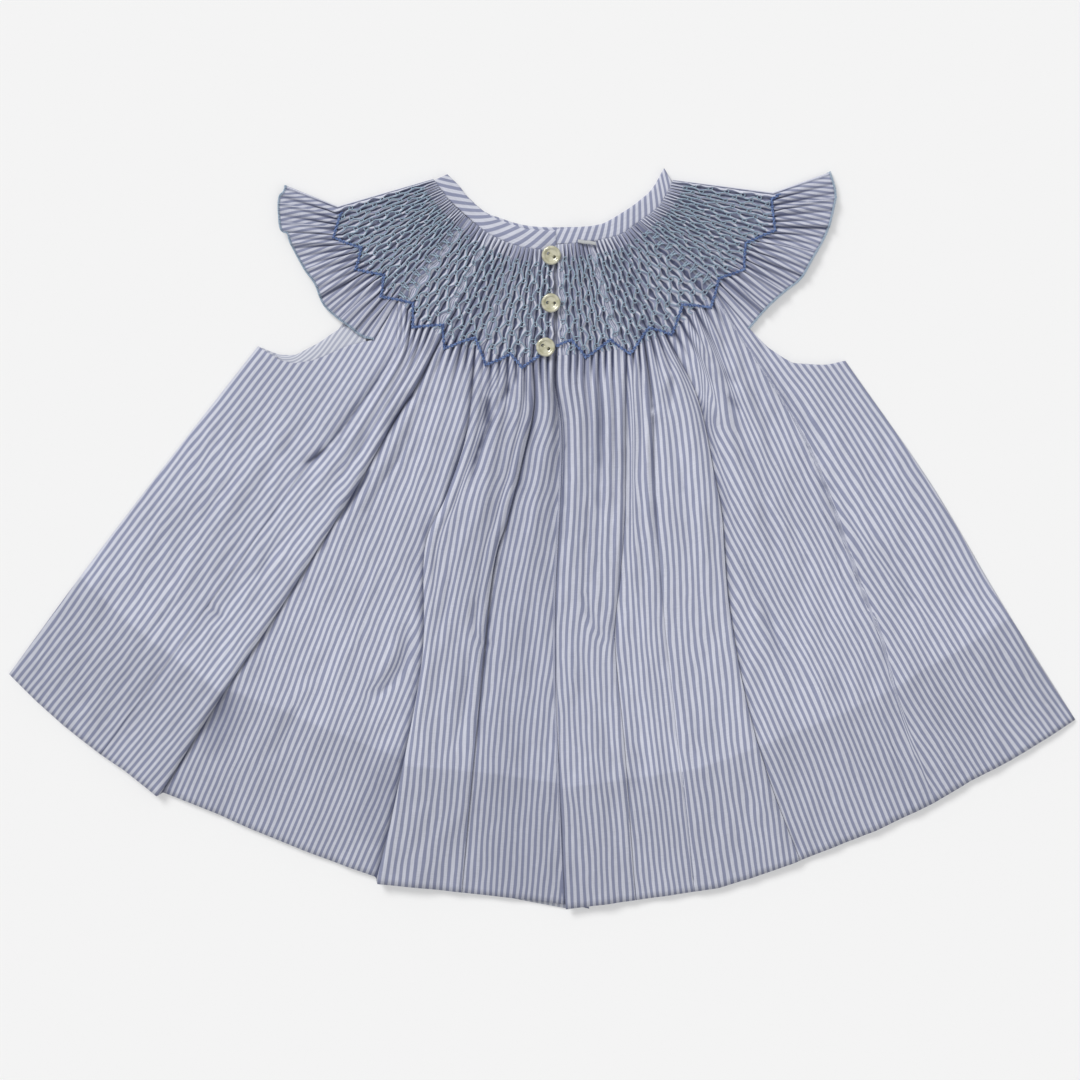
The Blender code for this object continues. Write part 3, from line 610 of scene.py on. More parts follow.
def tube(points: np.ndarray, radius: np.ndarray | float, sides: int) -> tuple[np.ndarray, np.ndarray]:
    """Make a round tube along a line.

    Args:
        points: the line's points, in millimetres.
        radius: one radius, or one for each point.
        sides: how many sides the tube has.

    Returns:
        Its points and its faces.
    """
    ahead = unit(np.gradient(points, axis=0))
    up = np.tile([0.0, 0.0, 1.0], (len(points), 1))
    steep = np.abs(ahead[:, 2]) > 0.9
    up[steep] = (1.0, 0.0, 0.0)
    side = unit(np.cross(ahead, up))
    top = np.cross(side, ahead)
    turn = np.linspace(0, 2 * math.pi, sides, endpoint=False)
    spread = np.broadcast_to(np.asarray(radius, float), (len(points),))[:, None, None]
    ring = side[:, None] * np.cos(turn)[None, :, None] + top[:, None] * np.sin(turn)[None, :, None]
    made = points[:, None] + spread * ring
    first = np.arange(len(points) - 1)[:, None] * sides
    k = np.arange(sides)
    following = (k + 1) % sides
    faces = np.stack([first + k, first + sides + k, first + sides + following, first + following], axis=-1)
    return made.reshape(-1, 3), faces.reshape(-1, 4)


def strands_object(
    name: str, lines: list[np.ndarray], radius: float, sides: int, material: bpy.types.Material
) -> bpy.types.Object:
    """Make many threads as one mesh.

    Args:
        name: the object's name.
        lines: the threads' lines, in millimetres.
        radius: the threads' radius.
        sides: how many sides a thread has.
        material: their finish.

    Returns:
        The object.
    """
    points, faces, caps, start = [], [], [], 0
    for line in lines:
        made, quads = tube(line, radius, sides)
        points.append(made)
        faces.append(quads + start)
        last = start + len(made)
        caps += [list(range(start, start + sides))[::-1], list(range(last - sides, last))]
        start = last
    return mesh_object(name, np.vstack(points), np.vstack(faces).tolist() + caps, material)


@dataclass(frozen=True)
class Guide:
    """A thread of the warp: its place in the cut cloth and its course from the smocking to the hem.

    A pinch is the line where the cloth between it and the next thread is pressed into a crease.
    """

    across: float
    course: Points
    pinch: Points | None = None


LEFT_PINCH: Points = (
    (-56, 106), (-74, 84.5), (-86.5, 65), (-108, 27), (-132.5, -12), (-148.5, -34.5), (-170, -71.5),
    (-192.5, -103), (-213, -140)
)
ARMHOLE_PINCH: Points = (
    (118.5, 107), (131.5, 79.5), (149, 45), (159, 19.5), (168, -6.5), (179, -36.5), (186.5, -55),
    (194, -83.5), (203.5, -114), (216, -144)
)


@dataclass(frozen=True)
class Stretch:
    """Cloth that shows between two lengthwise lines of a back piece, from the centre side to the next line.

    A rise is the cloth's height over the layer's face at the top, the middle and the hem. A positive tuck
    says how far the cloth is folded back under this stretch at its end, a negative one under the next.
    """

    end: Points
    guides: tuple[Guide, ...]
    pleats: int
    start_rise: tuple[float, float, float]
    end_rise: tuple[float, float, float]
    tuck: tuple[float, float, float] = (0.0, 0.0, 0.0)
    columns: int = 0


@dataclass(frozen=True)
class Crease:
    """A soft ridge or trough.

    The rise is its height in millimetres, less than 0 for a trough. The pull draws the stripes together,
    and the bend moves them sideways. The shade is the share of the light that the fold beside it keeps off.
    """

    course: Points
    width: float
    rise: float
    pull: float = 0.0
    bend: float = 0.0
    shade: float = 0.0


@dataclass(frozen=True)
class BackPlan:
    """The edges, stretches and creases of one back piece."""

    name: str
    start: Points
    neck: Points
    neck_start: tuple[float, float]
    top: Points
    hem: Points
    stretches: tuple[Stretch, ...]
    creases: tuple[Crease, ...]
    fan_valleys: tuple[float, ...]  # pleat counts where the cloth dips under the smocking's lower tips
    fan_ridges: tuple[float, ...]  # and where it fans out from its upper ones
    lap_end: Points | None = None  # where the lift of a piece that laps another ends
    seed: int = 1


LEFT_HEM: Points = (
    (26, -204), (12, -201.5), (-22, -197.5), (-61.5, -193), (-90.5, -190), (-91.5, -186.5), (-112.5, -179),
    (-131, -172), (-160.5, -160), (-180.5, -151), (-208.5, -140), (-211.5, -142), (-229.5, -128),
    (-243, -119), (-263, -103.5), (-277, -91), (-293.5, -75),
)
RIGHT_HEM: Points = (
    (13, -204), (38, -201), (67.5, -197), (97, -192.5), (116.5, -186.5), (136.5, -179.5), (153, -173),
    (183.5, -161), (215, -146), (236, -133.5), (257.5, -122.5), (278, -110), (293.5, -100),
)
LEFT_SIDE: Points = ((-156.5, 105.5), (-203, 46), (-248.5, -13.5), (-293.5, -75))
RIGHT_SIDE: Points = ((167, 97.5), (214, 30), (252, -34), (293.5, -100))
CENTRE_BACK: Points = (
    (7, 100), (7, 84.5), (10.5, 60.5), (10, 22.5), (7.5, -24.5), (7, -69.5), (8.5, -116.5), (12, -203),
)
LAP_PINCH: Points = tuple((x - 0.3, y) for x, y in CENTRE_BACK)
RIGHT_EDGE: Points = tuple((x + 0.9, y) for x, y in CENTRE_BACK)
LEFT_ARM_GUIDE = Guide(
    299.8,
    ((-75, 131), (-89, 100.5), (-116.5, 57), (-136, 32), (-160.5, -1), (-207.5, -63.5), (-247.5, -115.5)),
)
RIGHT_FOLD: Points = (
    (56.5, 106), (60.5, 62.5), (62.5, 24.5), (65.5, -15), (67.5, -56), (76.5, -135), (83.5, -195),
)
RIGHT_ARM_GUIDES = (
    Guide(220, ((88.5, 128), (99, 98), (115, 59.5), (142, 4.5), (173, -56), (215, -146)), ARMHOLE_PINCH),
    Guide(
        269, (
            (110, 109), (129.5, 79.5), (151.5, 45), (167.5, 19.5), (203, -36.5), (236, -92), (256.5, -123.5)
        )
    ),
)

LEFT_PLAN = BackPlan(
    name="left_back_cloth",
    start=((20, 100), (21, 60.5), (22, 0), (23, -100), (26, -203)),
    fan_valleys=(-1.0, 4.3, 8.7, 13.0, 18.3, 22.6),
    fan_ridges=(1.8, 5.9, 10.4, 14.9, 19.9, 24.0),
    neck=((14, 160.2), (7, 158.2), (-8.5, 159.5), (-19, 162.5), (-27, 166), (-34, 170.5), (-41.5, 176.5)),
    neck_start=(7, 158.2),
    top=(
        (20, 100), (7, 100), (-17.5, 99), (-37, 103.5), (-54.5, 110.5), (-71, 122.5), (-79.5, 131),
        (-86.5, 118.5), (-93, 109), (-107.5, 105.5), (-118.5, 100.5), (-126.5, 97.5), (-136.5, 96),
        (-143.5, 97.5), (-149, 101), (-156.5, 105.5),
    ),
    hem=LEFT_HEM,
    stretches=(
        Stretch(
            end=CENTRE_BACK,
            guides=(Guide(-12.0, ((20, 100), (26, -203))), Guide(0.0, CENTRE_BACK)),
            pleats=0, start_rise=(0, 0, 0), end_rise=(0, 0, 0), columns=6,
        ),
        Stretch(
            end=((-5, 98), (-4.5, 71.5), (-11.5, 39.5), (-19, 10), (-27.5, -22), (-37.5, -122), (-44, -195)),
            guides=(
                Guide(0.0, CENTRE_BACK, LAP_PINCH),
                Guide(
                    56.7,
                    (
                        (-5, 88), (-5, 69), (-10.5, 51.5), (-14, 33.5), (-19.5, 15.5), (-28.5, -34),
                        (-36, -100), (-44, -195)
                    )
                ),
            ),
            pleats=3, start_rise=(0, 0, 0), end_rise=(0.4, 0.4, 0.5), tuck=(-1.5, -6, -0.5),
        ),
        Stretch(
            end=(
                (-37, 103.5), (-41, 59.5), (-52.5, 23.5), (-64.5, -6.5),
                (-66, -67), (-80.5, -143.5), (-91, -188),
            ),
            guides=(
                Guide(
                    64.9,
                    (
                        (-6.5, 88), (-6, 69), (-11.5, 51.5), (-15.5, 33.5), (-22, 15.5), (-31.5, -34),
                        (-39.5, -100), (-48.5, -195)
                    )
                ),
                Guide(
                    104, ((-24.5, 95), (-39.5, 59.5), (-55.5, 15.5), (-65, -28.5), (-76, -89), (-91, -186.5))
                ),
            ),
            pleats=7, start_rise=(2.6, 3.2, 1.2), end_rise=(3.0, 4.2, 3.6), tuck=(1.5, 11, 4),
        ),
        Stretch(
            end=(
                (-55, 110.7), (-68.5, 84.5), (-81, 65), (-102.5, 27), (-124.5, -8),
                (-148, -45), (-176.5, -87.5), (-210, -141),
            ),
            guides=(
                Guide(
                    180.4, ((-46, 102), (-58.5, 65), (-75, 18), (-93.5, -28.5), (-118, -89), (-148.5, -165)),
                    LEFT_PINCH
                ),
                Guide(
                    244.2,
                    ((-67, 106), (-116.5, 59.5), (-136.5, 15.5), (-157, -28.5), (-185, -89), (-209, -141))
                ),
            ),
            pleats=5, start_rise=(1.2, 0.6, 0.4), end_rise=(1.0, 0.5, 0.3), tuck=(-1.5, -11, -5),
        ),
        Stretch(
            end=(
                (-79.5, 131), (-81, 105.5), (-92.5, 84.5), (-113, 57), (-130.5, 38.5),
                (-166, -12), (-207.5, -70), (-243, -119),
            ),
            guides=(LEFT_ARM_GUIDE,),
            pleats=8, start_rise=(2.4, 3.0, 2.8), end_rise=(1.0, 1.2, 0.5),
        ),
        Stretch(
            end=LEFT_SIDE,
            guides=(LEFT_ARM_GUIDE, Guide(361.4, LEFT_SIDE)),
            pleats=0, start_rise=(1.0, 1.2, 0.5), end_rise=(0.2, 0.3, 0.2), columns=62,
        ),
    ),
    creases=(
        Crease(((-168.5, -83.5), (-174.5, -100), (-183.5, -121)), 7.0, 0.0, shade=0.34),
        Crease(((-81.5, -112.5), (-90.5, -138.5), (-98, -167.5)), 8.0, 0.0, shade=0.2),
        Crease(
            ((-81, 105.5), (-92.5, 84.5), (-102.5, 71), (-113, 57), (-122, 45.5), (-130.5, 38.5)), 2.0, -1.2,
            0.6
        ),
        Crease(((-67, 81.5), (-81, 54), (-100, 26.5), (-119.5, -1)), 5.0, 0.9),
        Crease(((-133, 76), (-149.5, 48.5), (-174.5, 10), (-199, -28.5), (-232, -72.5)), 9.0, 0.9),
        Crease(((-108.5, 91), (-133, 59.5), (-160.5, 21), (-185.5, -12)), 5.0, -0.7),
        Crease(((-79, -75.5), (-86.5, -82.5), (-95.5, -89.5)), 1.4, -0.8, 0.5),
        Crease(((-185, -36), (-180, -39.5), (-175, -46.5)), 3.0, -0.9, 0.3, 1.0),
        Crease(((-136, -96), (-132, -87), (-127.5, -78.5)), 4.0, 0.9, 0.0, 1.2),
        Crease(((-39.5, 76), (-48, 48.5), (-56, 21), (-65, -12)), 3.0, 1.3),
        Crease(((-23, 59.5), (-30, 26.5), (-37, -12), (-44, -56)), 4.0, 0.8),
        Crease(((-29.5, 77), (-29.5, 69), (-30.5, 60.5)), 2.2, -1.8, 0.5),
        Crease(((-11.5, 92), (-21.5, 77), (-28.5, 62.5), (-35.5, 45.5), (-39.5, 26.5)), 1.6, -1.6, 0.5),
        Crease(((1.5, 76), (-1, 43), (-6.5, -1), (-11, -45)), 3.5, 0.9),
        Crease(((-20.5, -45), (-25, -89), (-28.5, -138.5)), 6.0, 0.8),
        Crease(((-4, -56), (-8, -111), (-12, -166)), 5.0, -0.6),
        Crease(((-105.5, -45), (-116.5, -89), (-130.5, -133)), 7.0, 0.7),
        Crease(((-61.5, -56), (-63, -100), (-67, -144)), 6.0, 0.8),
        Crease(((-259.5, -56), (-237.5, -39.5), (-215.5, -28.5)), 9.0, -0.7),
        Crease(((-188, -111), (-176, -97.5), (-166, -83.5)), 7.0, -0.8),
        Crease(((-188, 37.5), (-207.5, 10), (-232, -26)), 8.0, 0.6),
        Crease(((-119.5, 49.5), (-125.5, 44), (-131.5, 40.5)), 1.6, -1.4, 0.7),
        Crease(((-72.5, 80), (-79.5, 69), (-87.5, 56)), 2.6, -1.5, 0.4),
        Crease(((-93.5, 37.5), (-104.5, 21), (-112.5, 7.5)), 2.4, -1.5, 0.8),
        Crease(((-70, 65), (-78, 45.5), (-86.5, 32), (-99, 10)), 2.2, -0.9, 0.6),
        Crease(((-133, 10), (-151, -12), (-167.5, -34)), 3.4, -0.8, 0.5),
        Crease(((-166, 37.5), (-180, 21), (-190.5, 4.5)), 2.4, -0.8, 0.6),
        Crease(((-200.5, -34), (-210, -46.5), (-222.5, -61.5)), 2.6, -0.8, 0.6),
        Crease(((-89, -12), (-99, -39.5), (-104.5, -61.5)), 2.6, 0.8, 0.6),
        Crease(((-80.5, -56), (-83.5, -67), (-91.5, -80.5)), 3.4, 0.8, 0.0, 1.0),
        Crease(((-49.5, -12), (-52.5, -34), (-58, -56)), 2.6, -0.8, 0.6),
        Crease(((-39.5, -61.5), (-42, -89), (-49.5, -118)), 3.2, -0.8, 0.5),
        Crease(((-133, -83.5), (-137.5, -100), (-149.5, -122)), 3.2, -0.8, 0.7),
        Crease(((-36, -33), (-36.5, -46.5), (-33, -56), (-26, -60.5)), 3.0, -1.0, 0.5, 1.2),
        Crease(
            ((-74.5, -46.5), (-75.5, -61.5), (-78, -71.5), (-87, -80.5), (-99, -86)), 3.4, -1.2, 0.5, -1.6
        ),
        Crease(((-103, -115.5), (-93.5, -112.5), (-79.5, -109)), 8.0, -1.2),
        Crease(((-8, -12), (-9, -45), (-6.5, -83.5)), 6.0, -0.8),
        Crease(((-79.5, 78.5), (-61.5, 75.5), (-44, 73.5)), 3.2, -0.5),
        Crease(((-77, 62), (-60.5, 58), (-44, 56)), 3.4, 0.5),
    ),
    seed=4,
)

RIGHT_PLAN = BackPlan(
    name="right_back_cloth",
    start=RIGHT_EDGE,
    fan_valleys=(-0.5, 4.3, 10.4, 16.4, 22.3),
    fan_ridges=(2.0, 7.6, 13.6, 18.8, 24.0),
    neck=((8, 161.2), (19, 162), (32.5, 164), (43, 167), (52, 173)),
    neck_start=(8, 161.2),
    top=(
        (8, 100), (24, 101), (48.5, 104.5), (71, 113), (85, 125.5), (95.5, 136.5), (106, 124), (113.5, 115.5),
        (124.5, 104.5), (133.5, 98.5), (138.5, 96), (144.5, 95.5), (156, 95), (167, 97.5),
    ),
    hem=RIGHT_HEM,
    lap_end=((24, 101), (26, 60.5), (27, 0), (29, -100), (33, -202)),
    stretches=(
        Stretch(
            end=((46.5, 104), (46, 59.5), (45.5, 15.5), (43, -21.5), (40, -56), (45.5, -116.5), (51.5, -199)),
            guides=(
                Guide(0.0, RIGHT_EDGE),
                Guide(36.3, ((44, 102), (45.5, 59.5), (44, -34), (40.5, -78), (48.5, -201))),
            ),
            pleats=10, start_rise=(0.8, 1.0, 0.8), end_rise=(2.4, 3.2, 1.2), tuck=(1.2, 5, 0.5),
        ),
        Stretch(
            end=((56.5, 107), (61, 70.5), (62, 27.5), (66.5, -38), (71.5, -86), (83.5, -195)),
            guides=(
                Guide(55, ((43, 103.5), (48.5, 59.5), (50, -34), (67, -198.5))),
                Guide(73.2, RIGHT_FOLD),
            ),
            pleats=3, start_rise=(1.4, 1.6, 0.6), end_rise=(0.6, 0.8, 0.6), tuck=(-1.2, -4, -0.5),
        ),
        Stretch(
            end=(
                (68, 111.5), (85.5, 76.5), (94.5, 36), (99, 11), (102.5, -34),
                (111, -83.5), (124, -130.5), (142, -177.5),
            ),
            guides=(
                Guide(75.9, RIGHT_FOLD),
                Guide(111.7, ((71.5, 109), (94, 59.5), (101.5, -34), (120.5, -187))),
            ),
            pleats=3, start_rise=(1.8, 2.2, 1.0), end_rise=(2.6, 3.4, 1.6), tuck=(1.5, 12, 1.5),
        ),
        Stretch(
            end=((95.5, 136.5), (116, 98), (131, 62), (151, 25), (172, -50), (204, -151)),
            guides=(
                Guide(
                    160.6,
                    (
                        (59.5, 110), (60.5, 59.5), (70.5, 23), (81.5, -1), (101.5, -39.5), (131.5, -94.5),
                        (162.5, -170)
                    )
                ),
                Guide(
                    184.3,
                    (
                        (81.5, 111.5), (87, 83), (81.5, 59.5), (92.5, 32), (122.5, -28.5), (152, -83.5),
                        (183.5, -160.5)
                    )
                ),
                *RIGHT_ARM_GUIDES,
            ),
            pleats=7, start_rise=(1.2, 1.0, 0.6), end_rise=(1.0, 1.8, 1.0),
        ),
        Stretch(
            end=RIGHT_SIDE,
            guides=(
                *RIGHT_ARM_GUIDES,
                Guide(
                    280.5,
                    ((123, 107), (134, 92), (146, 76), (166, 45), (216, -36.5), (249.5, -92), (268.5, -116.5))
                ),
                Guide(312.4, RIGHT_SIDE),
            ),
            pleats=0, start_rise=(1.0, 1.8, 1.0), end_rise=(0.2, 0.3, 0.2), columns=62,
        ),
    ),
    creases=(
        Crease(((94.5, 121.5), (99, 111.5), (105, 101)), 2.0, -1.6, 0.5),
        Crease(((98, 108.5), (101.5, 101), (105, 95)), 1.5, -1.2, 0.4),
        Crease(((118.5, 107), (130, 83), (144.5, 62.5), (157.5, 40)), 3.2, -1.3, 0.8),
        Crease(
            (
                (131.5, 79.5), (149, 45), (159, 19.5), (168, -6.5), (179, -36.5), (186.5, -55), (191.5, -82),
                (194, -92)
            ),
            2.0, -1.3, 0.9
        ),
        Crease(((107, 85.5), (115.5, 76), (125.5, 64.5)), 4.0, 1.2),
        Crease(((60, 72), (62.5, 68), (65.5, 64.5)), 1.6, 1.4, 1.0),
        Crease(((60, 73), (66, 82.5), (72.5, 93)), 1.1, 0.9, 0.4),
        Crease(((23.5, 91), (22, 54), (21, 10), (19.5, -34)), 3.5, 0.9),
        Crease(((32.5, 91), (32, 54), (30.5, 10), (29.5, -28.5)), 3.0, -0.8),
        Crease(((16, 21), (14.5, -34), (16.5, -100)), 5.0, 0.6),
        Crease(((26.5, -56), (32, -100), (38.5, -155)), 6.0, -0.5),
        Crease(((54, -45), (59.5, -89), (65, -144)), 6.0, 0.6),
        Crease(((81.5, 76), (85, 48.5), (88.5, 10), (91, -28.5)), 4.5, 1.0),
        Crease(((73, 65), (76.5, 32), (80, -12)), 3.0, -0.8),
        Crease(((110, 37.5), (118.5, 4.5), (128, -34), (136.5, -61.5)), 5.0, 0.9),
        Crease(((125.5, 32), (139, -1), (150, -39.5)), 4.0, -0.7),
        Crease(((142, 87), (162.5, 54), (180.5, 21), (205, -23), (230, -67)), 8.0, 1.0),
        Crease(((169.5, 59.5), (186, 32), (208, -6.5)), 5.0, -0.7),
        Crease(((197, -34), (210.5, -61.5), (224.5, -89)), 9.0, -0.5),
        Crease(((120, -89), (128, -116.5), (136.5, -144)), 8.0, 0.6),
        Crease(((69, 102), (71.5, 84.5), (69, 69)), 2.2, -1.3, 0.6),
        Crease(((89, 102), (95.5, 84.5), (110, 69)), 2.0, -1.4, 0.7),
        Crease(((81.5, 98), (87, 80), (99, 65)), 2.6, 1.1, 0.6),
        Crease(((99, 91), (114.5, 80), (125.5, 59.5)), 2.6, -1.2, 0.7),
        Crease(((106, 54), (115.5, 37.5), (124, 25)), 2.4, -0.9, 0.7),
        Crease(((125.5, 21), (137.5, 3), (145, -12)), 2.6, 0.8, 0.7),
        Crease(((156, 37.5), (169.5, 10), (181.5, -12)), 2.4, -0.9, 0.6),
        Crease(((170.5, 10), (188, -15.5), (199.5, -34)), 4.0, 0.8, 0.6),
        Crease(((188, -1), (199.5, -26), (213.5, -45)), 2.6, -0.8, 0.5),
        Crease(((110, -12), (121, -34), (128.5, -56)), 3.0, -0.8, 0.6),
        Crease(((142, -56), (151.5, -78), (161.5, -98)), 3.0, 0.8, 0.6),
        Crease(((120, -34), (128.5, -56), (142, -83.5)), 2.6, -0.7, 0.5),
        Crease(((32, 21), (33, -12), (32, -45)), 2.6, -0.7, 0.4),
        Crease(((24, -30), (25, -38.5), (30, -49.5), (38.5, -57.5)), 3.2, -0.9, 0.4, -1.3),
        Crease(((45.5, -118), (50.5, -133), (55, -147.5)), 9.0, -0.9),
        Crease(((81.5, -108.5), (89.5, -115.5), (100.5, -118)), 7.0, -0.8),
        Crease(((54, 32), (54.5, -1), (56.5, -34)), 2.6, -0.7, 0.5),
        Crease(((13, 65), (11, 32), (10, -1)), 2.6, -0.9, 0.4),
    ),
    seed=9,
)


class PleatForm:
    """The shape of smocked pleats by their count along a row and the share of the yoke's depth."""

    def __init__(self, pleats: int, seed: float = 0.0, rise: float = 1.0) -> None:
        """Set the stitch rows.

        Args:
            pleats: how many pleats the piece has.
            seed: what the pleats' irregularities start from.
            rise: how high they stand next to those of the backs.
        """
        self.pleats = pleats
        self.rise = rise
        self.seed = seed
        self.rows = np.array((-0.02, *STITCH_ROWS, 1.05))

    def row_count(self, share: np.ndarray) -> np.ndarray:
        """How many stitch rows lie above each share of the depth."""
        return np.interp(share, self.rows, np.arange(len(self.rows)))

    def shifted(self, pleat: np.ndarray, share: np.ndarray) -> np.ndarray:
        """Stitch rows passed, with the rows waving a little from pleat to pleat."""
        wave = 0.16 * np.sin(0.8 * pleat + self.seed) + 0.12 * np.sin(2.1 * pleat + 5 * share)
        return self.row_count(share) + wave

    def uneven(self, pleat: np.ndarray, share: np.ndarray, turn: float) -> np.ndarray:
        """How much each pleat departs from its neighbours at each row, from -1 to 1."""
        number, row = np.floor(pleat), self.row_count(share)
        return (
            0.6 * np.sin(12.99 * number + 2.4 * row + turn + self.seed)
            + 0.4 * np.sin(7.3 * number - 3.7 * row + self.seed)
        )

    def sway(self, pleat: np.ndarray, share: np.ndarray) -> np.ndarray:
        """How far each point moves along the row, in pleats."""
        drawn = (
            2 / math.pi * np.arcsin(np.cos(math.pi * self.shifted(pleat, share)))
            * np.cos(math.pi * (pleat - 0.5))
        )
        strength = PLEAT_SWAY * smooth_step(share / 0.14) * (1 + 0.3 * self.uneven(pleat, share, 1.0))
        drifting = (
            0.26 * self.uneven(pleat, share, 4.0) * np.abs(np.sin(math.pi * pleat))
            * smooth_step(share / 0.14)
        )
        inside = smooth_step(pleat / 0.5) * smooth_step((self.pleats - pleat) / 0.5)
        return (strength * drawn + drifting) * inside

    def height(self, pleat: np.ndarray, share: np.ndarray) -> np.ndarray:
        """Height of the pleats over the layer's face, in millimetres."""
        full = PLEAT_HEIGHT_NECK + (PLEAT_HEIGHT_YOKE - PLEAT_HEIGHT_NECK) * smooth_step(share / 0.16)
        rib = crest(pleat) ** RIB_POWER
        puff = 0.62 + 0.38 * np.abs(np.sin(math.pi * self.shifted(pleat, share))) ** 0.7
        level = (
            1
            + 0.24 * self.uneven(
                pleat, share, 2.0
            ) * smooth_step(share / 0.2) * smooth_step((1 - share) / 0.1)
        )
        return self.rise * full * rib * puff * level

    def painted_shade(self, pleat: np.ndarray, share: np.ndarray) -> np.ndarray:
        """How much painted shade darkens the cloth between the pleats, from 0 to 1, with less of it in the
        open cells.
        """
        rib = crest(pleat)
        openness = np.cos(math.pi * self.shifted(pleat, share)) * np.cos(math.pi * np.round(pleat))
        darkest = 0.66 - 0.2 * openness
        return (
            darkest * np.clip(1 - rib / 0.3, 0, 1) ** 0.7 * smooth_step(share / 0.12 + 0.35)
            * smooth_step(pleat + 0.2)
        )


@dataclass(frozen=True)
class Gather:
    """Ridges of several pleats each: their height, and the shares of the skirt where they rise and fade."""

    count: int
    drift: float
    height: float
    power: float
    rising: tuple[float, float]
    fading: tuple[float, float]
    waves: int = 1  # the more, the narrower the valleys that hide the rest of the cloth

    def lead(self, turn: np.ndarray) -> np.ndarray:
        """How far the cloth runs ahead at each place of a ridge, as a share of the ridge's cloth."""
        total = np.zeros_like(turn)
        for n in range(1, self.waves + 1):
            total += np.sinc(n / (self.waves + 1)) * np.sin(n * turn) / (n * math.pi)
        return total


GATHERS = (
    Gather(1, 0.0, PLEAT_HEIGHT_YOKE, RIB_POWER, (-1.0, -0.5), (0.0, 0.12), 2),
    Gather(2, 0.5, 1.6, 0.6, (0.0, 0.06), (0.1, 0.26), 3),
)
FANS = Gather(5, 0.0, 2.6, 0.5, (0.0, 0.08), (0.2, 0.6), 5)
CREASE_GAIN = 1.5  # how much deeper the creases are than their plans say
PINCH_WIDTH = 1.3
YOKE_CLOTH = 10.0  # millimetres to a pleat
SLACK = 1.06  # cloth to a millimetre where it lies flat but not stretched


